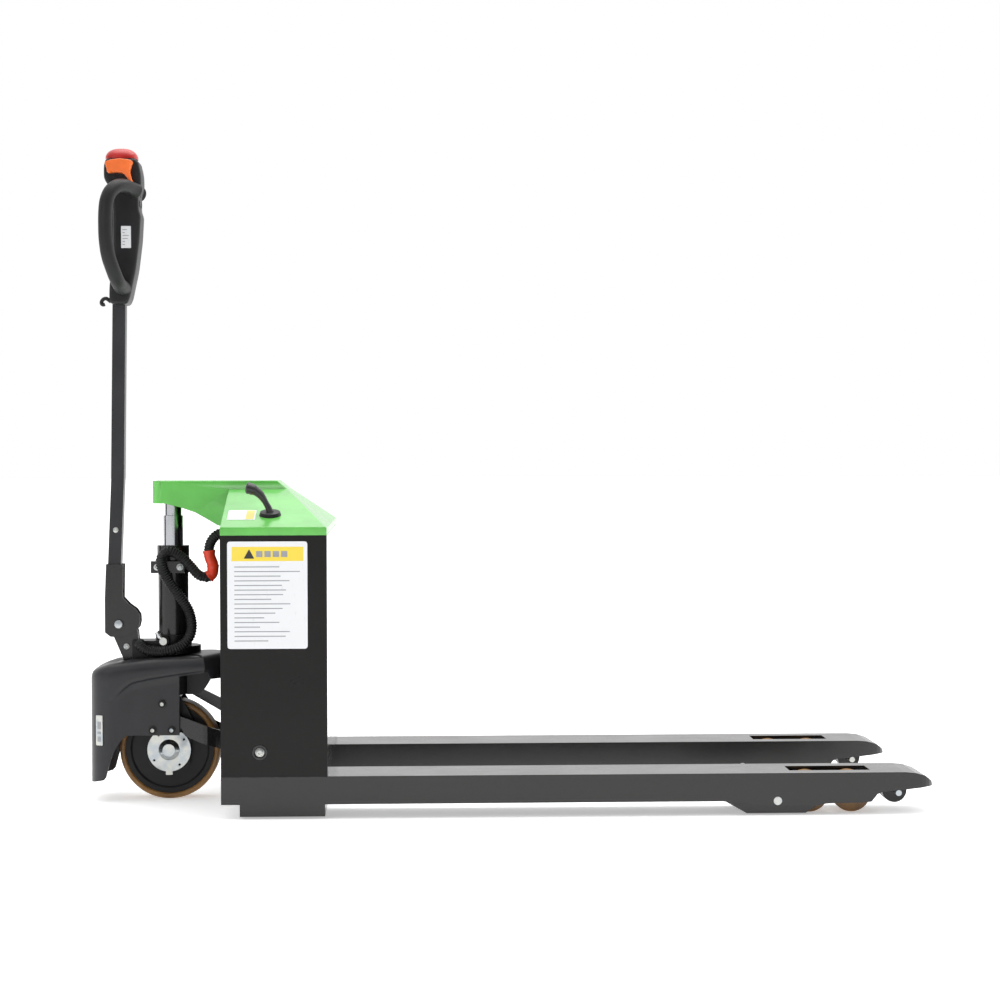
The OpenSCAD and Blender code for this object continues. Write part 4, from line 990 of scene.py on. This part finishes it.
lines = Tree("printed_lines", rows=12, row_pitch=0.0125, row_length=0.13, seed=4, thickness=0.0006,
             line_height=0.0026)
points = lines.node("GeometryNodeMeshLine", {"mode": "OFFSET"}, {"Count": lines.given("rows")})
step = lines.maths("MULTIPLY", lines.given("row_pitch"), -1.0)
offset = lines.node("ShaderNodeCombineXYZ", inputs={"Z": step})
lines.group.links.new(offset, points.node.inputs["Offset"])
bar = lines.node("GeometryNodeMeshCube", inputs={"Size": (1.0, 1.0, 1.0)})
pushed = lines.node("GeometryNodeTransform", inputs={"Geometry": bar, "Translation": (0.5, 0.0, 0.0)})
share = lines.node("FunctionNodeRandomValue", {"data_type": "FLOAT"},
                   {2: 0.35, 3: 1.0, "Seed": lines.given("seed")}, out=1)
reach = lines.maths("MULTIPLY", share, lines.given("row_length"))
bar_size = lines.node("ShaderNodeCombineXYZ", inputs={
    "X": reach, "Y": lines.given("thickness"), "Z": lines.given("line_height")})
row = lines.node("GeometryNodeInstanceOnPoints", inputs={"Points": points, "Instance": pushed, "Scale": bar_size})
corner = lines.node("GeometryNodeInputPosition")
first = lines.node("GeometryNodeSampleIndex", {"data_type": "FLOAT_VECTOR"},
                   {"Geometry": lines.start.outputs[0], "Value": corner, "Index": 0})
moved = lines.node("GeometryNodeTransform", inputs={"Geometry": row})
lines.group.links.new(first, moved.node.inputs["Translation"])
lines.finish(moved, FILM["grey_print"])

# %% The notice on the box
NX0, NX1, NZ0, NZ1 = HEEL_X - 0.1974, HEEL_X - 0.0385, 0.3400, 0.5535
sheet_on_side("notice_sheet", NX0, NX1, NZ0, NZ1, SIDE_Y + 0.0001, 0.0003, 0.006, FILM["white_film"],
              "chassis")
sheet_on_side("notice_band", NX0 + 0.009, NX1 - 0.008, 0.5145, 0.5430, SIDE_Y - 0.0001, 0.0002, 0.001,
              FILM["yellow_film"], "chassis")
soft_plate("notice_mark", rounded_outline([Vector((HEEL_X + x, z)) for x, z in (
    (-0.1645, 0.5195), (-0.1435, 0.5195), (-0.1540, 0.5385))], 0.0015), SIDE_Y - 0.0005, SIDE_Y - 0.0002, 0.0001,
    FILM["black_print"], "chassis", steps=1)
for block in range(4):
    left = HEEL_X - 0.1400 + block * 0.0165
    sheet_on_side("notice_title_" + str(block + 1), left, left + 0.0125, 0.5225, 0.5345, SIDE_Y - 0.0002, 0.0003,
                  0.0008, FILM["grey_print"], "chassis")
print_rows = lines.apply("notice_lines", [(NX0 + 0.014, SIDE_Y - 0.0002, 0.5030)], "chassis",
                         rows=17, row_pitch=0.0092, row_length=0.130, line_height=0.0019, seed=5, thickness=0.0004)
print("notice:", round(NX1 - NX0, 3), "by", round(NZ1 - NZ0, 3), "m,", len(print_rows.data.polygons),
      "faces of print")

# %% Small plates
head_plate = sheet_on_side("head_plate", PX + 0.0120, PX + 0.0325, 1.1576, 1.2035, -head_half + 0.0001, 0.0006,
                           0.001, FILM["white_film"], "tiller")
lines.apply("head_plate_lines", [(PX + 0.0150, -head_half - 0.0006, 1.196)], "tiller",
            rows=6, row_pitch=0.0062, row_length=0.013, line_height=0.0014, seed=9, thickness=0.0003)
roof = max((f for f in nodes["hood"].data.polygons if f.normal.y < -0.2 and f.normal.z > 0.9), key=lambda f: f.area)
ROOF_Y = middle("isolator_base").y


def on_roof(x, y, above):
    """A point on the roof's right slope at x and y, raised above it."""
    z = roof.center.z - (roof.normal.x * (x - roof.center.x) + roof.normal.y * (y - roof.center.y)) / roof.normal.z
    return Vector((x, y, z)) + roof.normal * above


def roof_sheet(name, x0, x1, half_y, low, high, finish):
    """A thin sheet on the right slope, from low to high above it."""
    corners = ((x0, -half_y), (x1, -half_y), (x1, half_y), (x0, half_y))
    return piece(name, [on_roof(HEEL_X + x, ROOF_Y + y, up) for up in (low, high) for x, y in corners],
                 [(3, 2, 1, 0), (4, 5, 6, 7), (0, 1, 5, 4), (1, 2, 6, 5), (2, 3, 7, 6), (3, 0, 4, 7)],
                 finish, "chassis")


roof_plate = roof_sheet("hood_plate", -0.201, -0.145, 0.032, 0.0, 0.0006, FILM["white_film"])
roof_sheet("hood_plate_band", -0.164, -0.148, 0.028, 0.0007, 0.0010, FILM["yellow_film"])
print("plates:", head_plate.name, roof_plate.name)

# %% Strap clip at the head's foot
clip = swept_tube("head_clip", smooth_path([(PX + x / 1000, -0.020, z / 1000) for x, z in (
    (-12, 1046), (-17, 1050), (-22, 1053), (-27, 1052), (-31, 1048), (-32, 1043), (-29, 1040), (-25, 1041))], 4),
    [(0.0040, 0.0048)] * 29, PLASTIC["head_plastic"], "tiller", sides=12)

# %% Badge on the cover
corner_turn = Matrix.Translation((STEER_X - 0.1473, -0.0846, 0.0)) @ Matrix.Rotation(math.radians(-33.0), 4, "Z")
badge = soft_plate("cover_badge", rounded_outline([Vector(c) for c in (
    (-0.0088, 0.119), (0.0088, 0.119), (0.0088, 0.182), (-0.0088, 0.182))], 0.002), -0.0013, 0.0013, 0.0005,
    METAL["zinc"], "drive_unit", turn=corner_turn)
for low, high in ((0.127, 0.138), (0.143, 0.148), (0.153, 0.169)):
    soft_plate("cover_badge_mark", [Vector(c) for c in (
        (-0.0045, low), (0.0045, low), (0.0045, high), (-0.0045, high))], -0.0017, -0.0010, 0.0001,
        FILM["grey_print"], "drive_unit", steps=1, turn=corner_turn)

# %% [markdown]
# ## Welds
#
# The box's plates are welded to the forks. A weld bead is a row of overlapping drops, so the tree lays
# small flattened balls along the seam, each sized a little differently.

# %% Weld beads
beads = Tree("weld_bead", bead_size=0.0032, pitch=0.0026, seed=3)
seam_line = beads.node("GeometryNodeMeshToCurve", inputs={"Mesh": beads.start.outputs[0]})
spots = beads.node("GeometryNodeCurveToPoints", {"mode": "LENGTH"},
                   {"Curve": seam_line, "Length": beads.given("pitch")})
drop = beads.node("GeometryNodeMeshIcoSphere", inputs={"Radius": 1.0, "Subdivisions": 2})
flat_drop = beads.node("GeometryNodeTransform", inputs={"Geometry": drop, "Scale": (1.1, 0.75, 1.0)})
wobble = beads.node("FunctionNodeRandomValue", {"data_type": "FLOAT"},
                    {2: 0.85, 3: 1.15, "Seed": beads.given("seed")}, out=1)
bead_scale = beads.maths("MULTIPLY", wobble, beads.given("bead_size"))
laid = beads.node("GeometryNodeInstanceOnPoints", inputs={
    "Points": spots, "Instance": flat_drop, "Scale": bead_scale})
beads.finish(laid, COAT["black_coat"])
seam_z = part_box("side_plate_right")[0].z
for side, hand in SIDES:
    y = side * (abs(SIDE_Y) - 0.0028)
    weld = beads.apply("weld_" + hand, [(BOX_X + 0.004, y, seam_z), (HEEL_X - 0.004, y, seam_z)], "chassis",
                       edges=[(0, 1)])
print("welds laid at z =", round(seam_z, 4))

# %% [markdown]
# ## Floor, light and camera
#
# A machine this dark shows its shape through what it reflects. A pale room all round gives soft
# gradients in the paint, one large lamp above the truck brightens the faces that look up, and a
# weaker one in front lifts the black side plates just enough to read.

# %% Floor
def floor_finish():
    r = Recipe("pale_floor", Specular_IOR_Level=0.1, Emission_Color=(1.0, 1.0, 1.0, 1.0),
               Emission_Strength=0.42)
    cloud = r.noise(1.2, 3.0)
    return r.finish(Base_Color=r.blend(cloud, (0.86, 0.86, 0.86), (0.90, 0.90, 0.90)),
                    Roughness=0.55 + cloud * 0.1, Normal=r.bump(r.noise(60.0), 0.0001, 0.1))


bpy.ops.mesh.primitive_circle_add(vertices=96, radius=45.0, fill_type="NGON")
floor = bpy.context.object
floor.name = "studio_floor"
floor.data.materials.append(floor_finish())

# %% Light
world = bpy.data.worlds.new("studio")
world.use_nodes = True
web = world.node_tree
backdrop = web.nodes["Background"]
backdrop.inputs["Color"].default_value = (1.0, 1.0, 1.0, 1.0)
room = web.nodes.new("ShaderNodeBackground")
room.inputs["Color"].default_value = (1.0, 1.0, 1.0, 1.0)
direction = web.nodes.new("ShaderNodeSeparateXYZ")
web.links.new(web.nodes.new("ShaderNodeTexCoord").outputs["Generated"], direction.inputs[0])


def glow(axis, *limits):
    """The room's brightness along one axis, from its lowest and highest place to those values."""
    ranged = web.nodes.new("ShaderNodeMapRange")
    for socket, value in zip(("From Min", "From Max", "To Min", "To Max"), limits):
        ranged.inputs[socket].default_value = value
    web.links.new(direction.outputs[axis], ranged.inputs["Value"])
    return ranged.outputs[0]


total = web.nodes.new("ShaderNodeMath")
for place, part in enumerate((glow("Y", -0.9, 0.5, 0.07, 1.0), glow("Z", 0.25, 0.9, 0.0, 0.9))):
    web.links.new(part, total.inputs[place])
web.links.new(total.outputs[0], room.inputs["Strength"])
seen = web.nodes.new("ShaderNodeLightPath")
either = web.nodes.new("ShaderNodeMixShader")
web.links.new(seen.outputs["Is Camera Ray"], either.inputs[0])
web.links.new(room.outputs[0], either.inputs[1])
web.links.new(backdrop.outputs[0], either.inputs[2])
web.links.new(either.outputs[0], web.nodes["World Output"].inputs[0])
bpy.context.scene.world = world
bpy.context.scene.view_settings.view_transform = "Standard"


def lamp(name, place, aim, size, power):
    light = bpy.data.lights.new(name, "AREA")
    light.shape, light.size, light.energy = "DISK", size, power
    stand = bpy.data.objects.new(name, light)
    bpy.context.scene.collection.objects.link(stand)
    stand.location = place
    stand.rotation_euler = (Vector(aim) - Vector(place)).to_track_quat("-Z", "Y").to_euler()


lamp("overhead", (0.2, 0.4, 3.6), (0.0, 0.0, 0.4), 3.2, 60.0)
lamp("front_left", (-2.4, -3.4, 2.0), (-0.3, 0.0, 0.5), 1.8, 14.0)
lamp("rim_right", (3.2, 1.6, 1.8), (0.2, 0.0, 0.3), 1.6, 14.0)

# %% Camera
def camera(place, yaw, pitch, roll, lens):
    """Looks along +Y, turned by yaw towards +X, pitched down and rolled, in degrees."""
    yaw, pitch, roll = (math.radians(a) for a in (yaw, pitch, roll))
    ahead = Vector((math.sin(yaw), math.cos(yaw), 0))
    right = Vector((math.cos(yaw), -math.sin(yaw), 0))
    up = Vector((0, 0, 1))
    look = ahead * math.cos(pitch) - up * math.sin(pitch)
    top = up * math.cos(pitch) + ahead * math.sin(pitch)
    side = right * math.cos(roll) + top * math.sin(roll)
    top = top * math.cos(roll) - right * math.sin(roll)
    eye = bpy.data.objects.new("eye", bpy.data.cameras.new("eye"))
    bpy.context.scene.collection.objects.link(eye)
    eye.data.lens, eye.data.sensor_width = lens, 36.0
    turn = Matrix((side, top, -look)).transposed().to_4x4()
    eye.matrix_world = Matrix.Translation(place) @ turn
    return eye


bpy.context.scene.camera = camera((-0.200, -5.4085, 0.7548), 2.106, 1.361, -0.139, 91.68)
print("camera:", [round(v, 3) for v in bpy.context.scene.camera.location])
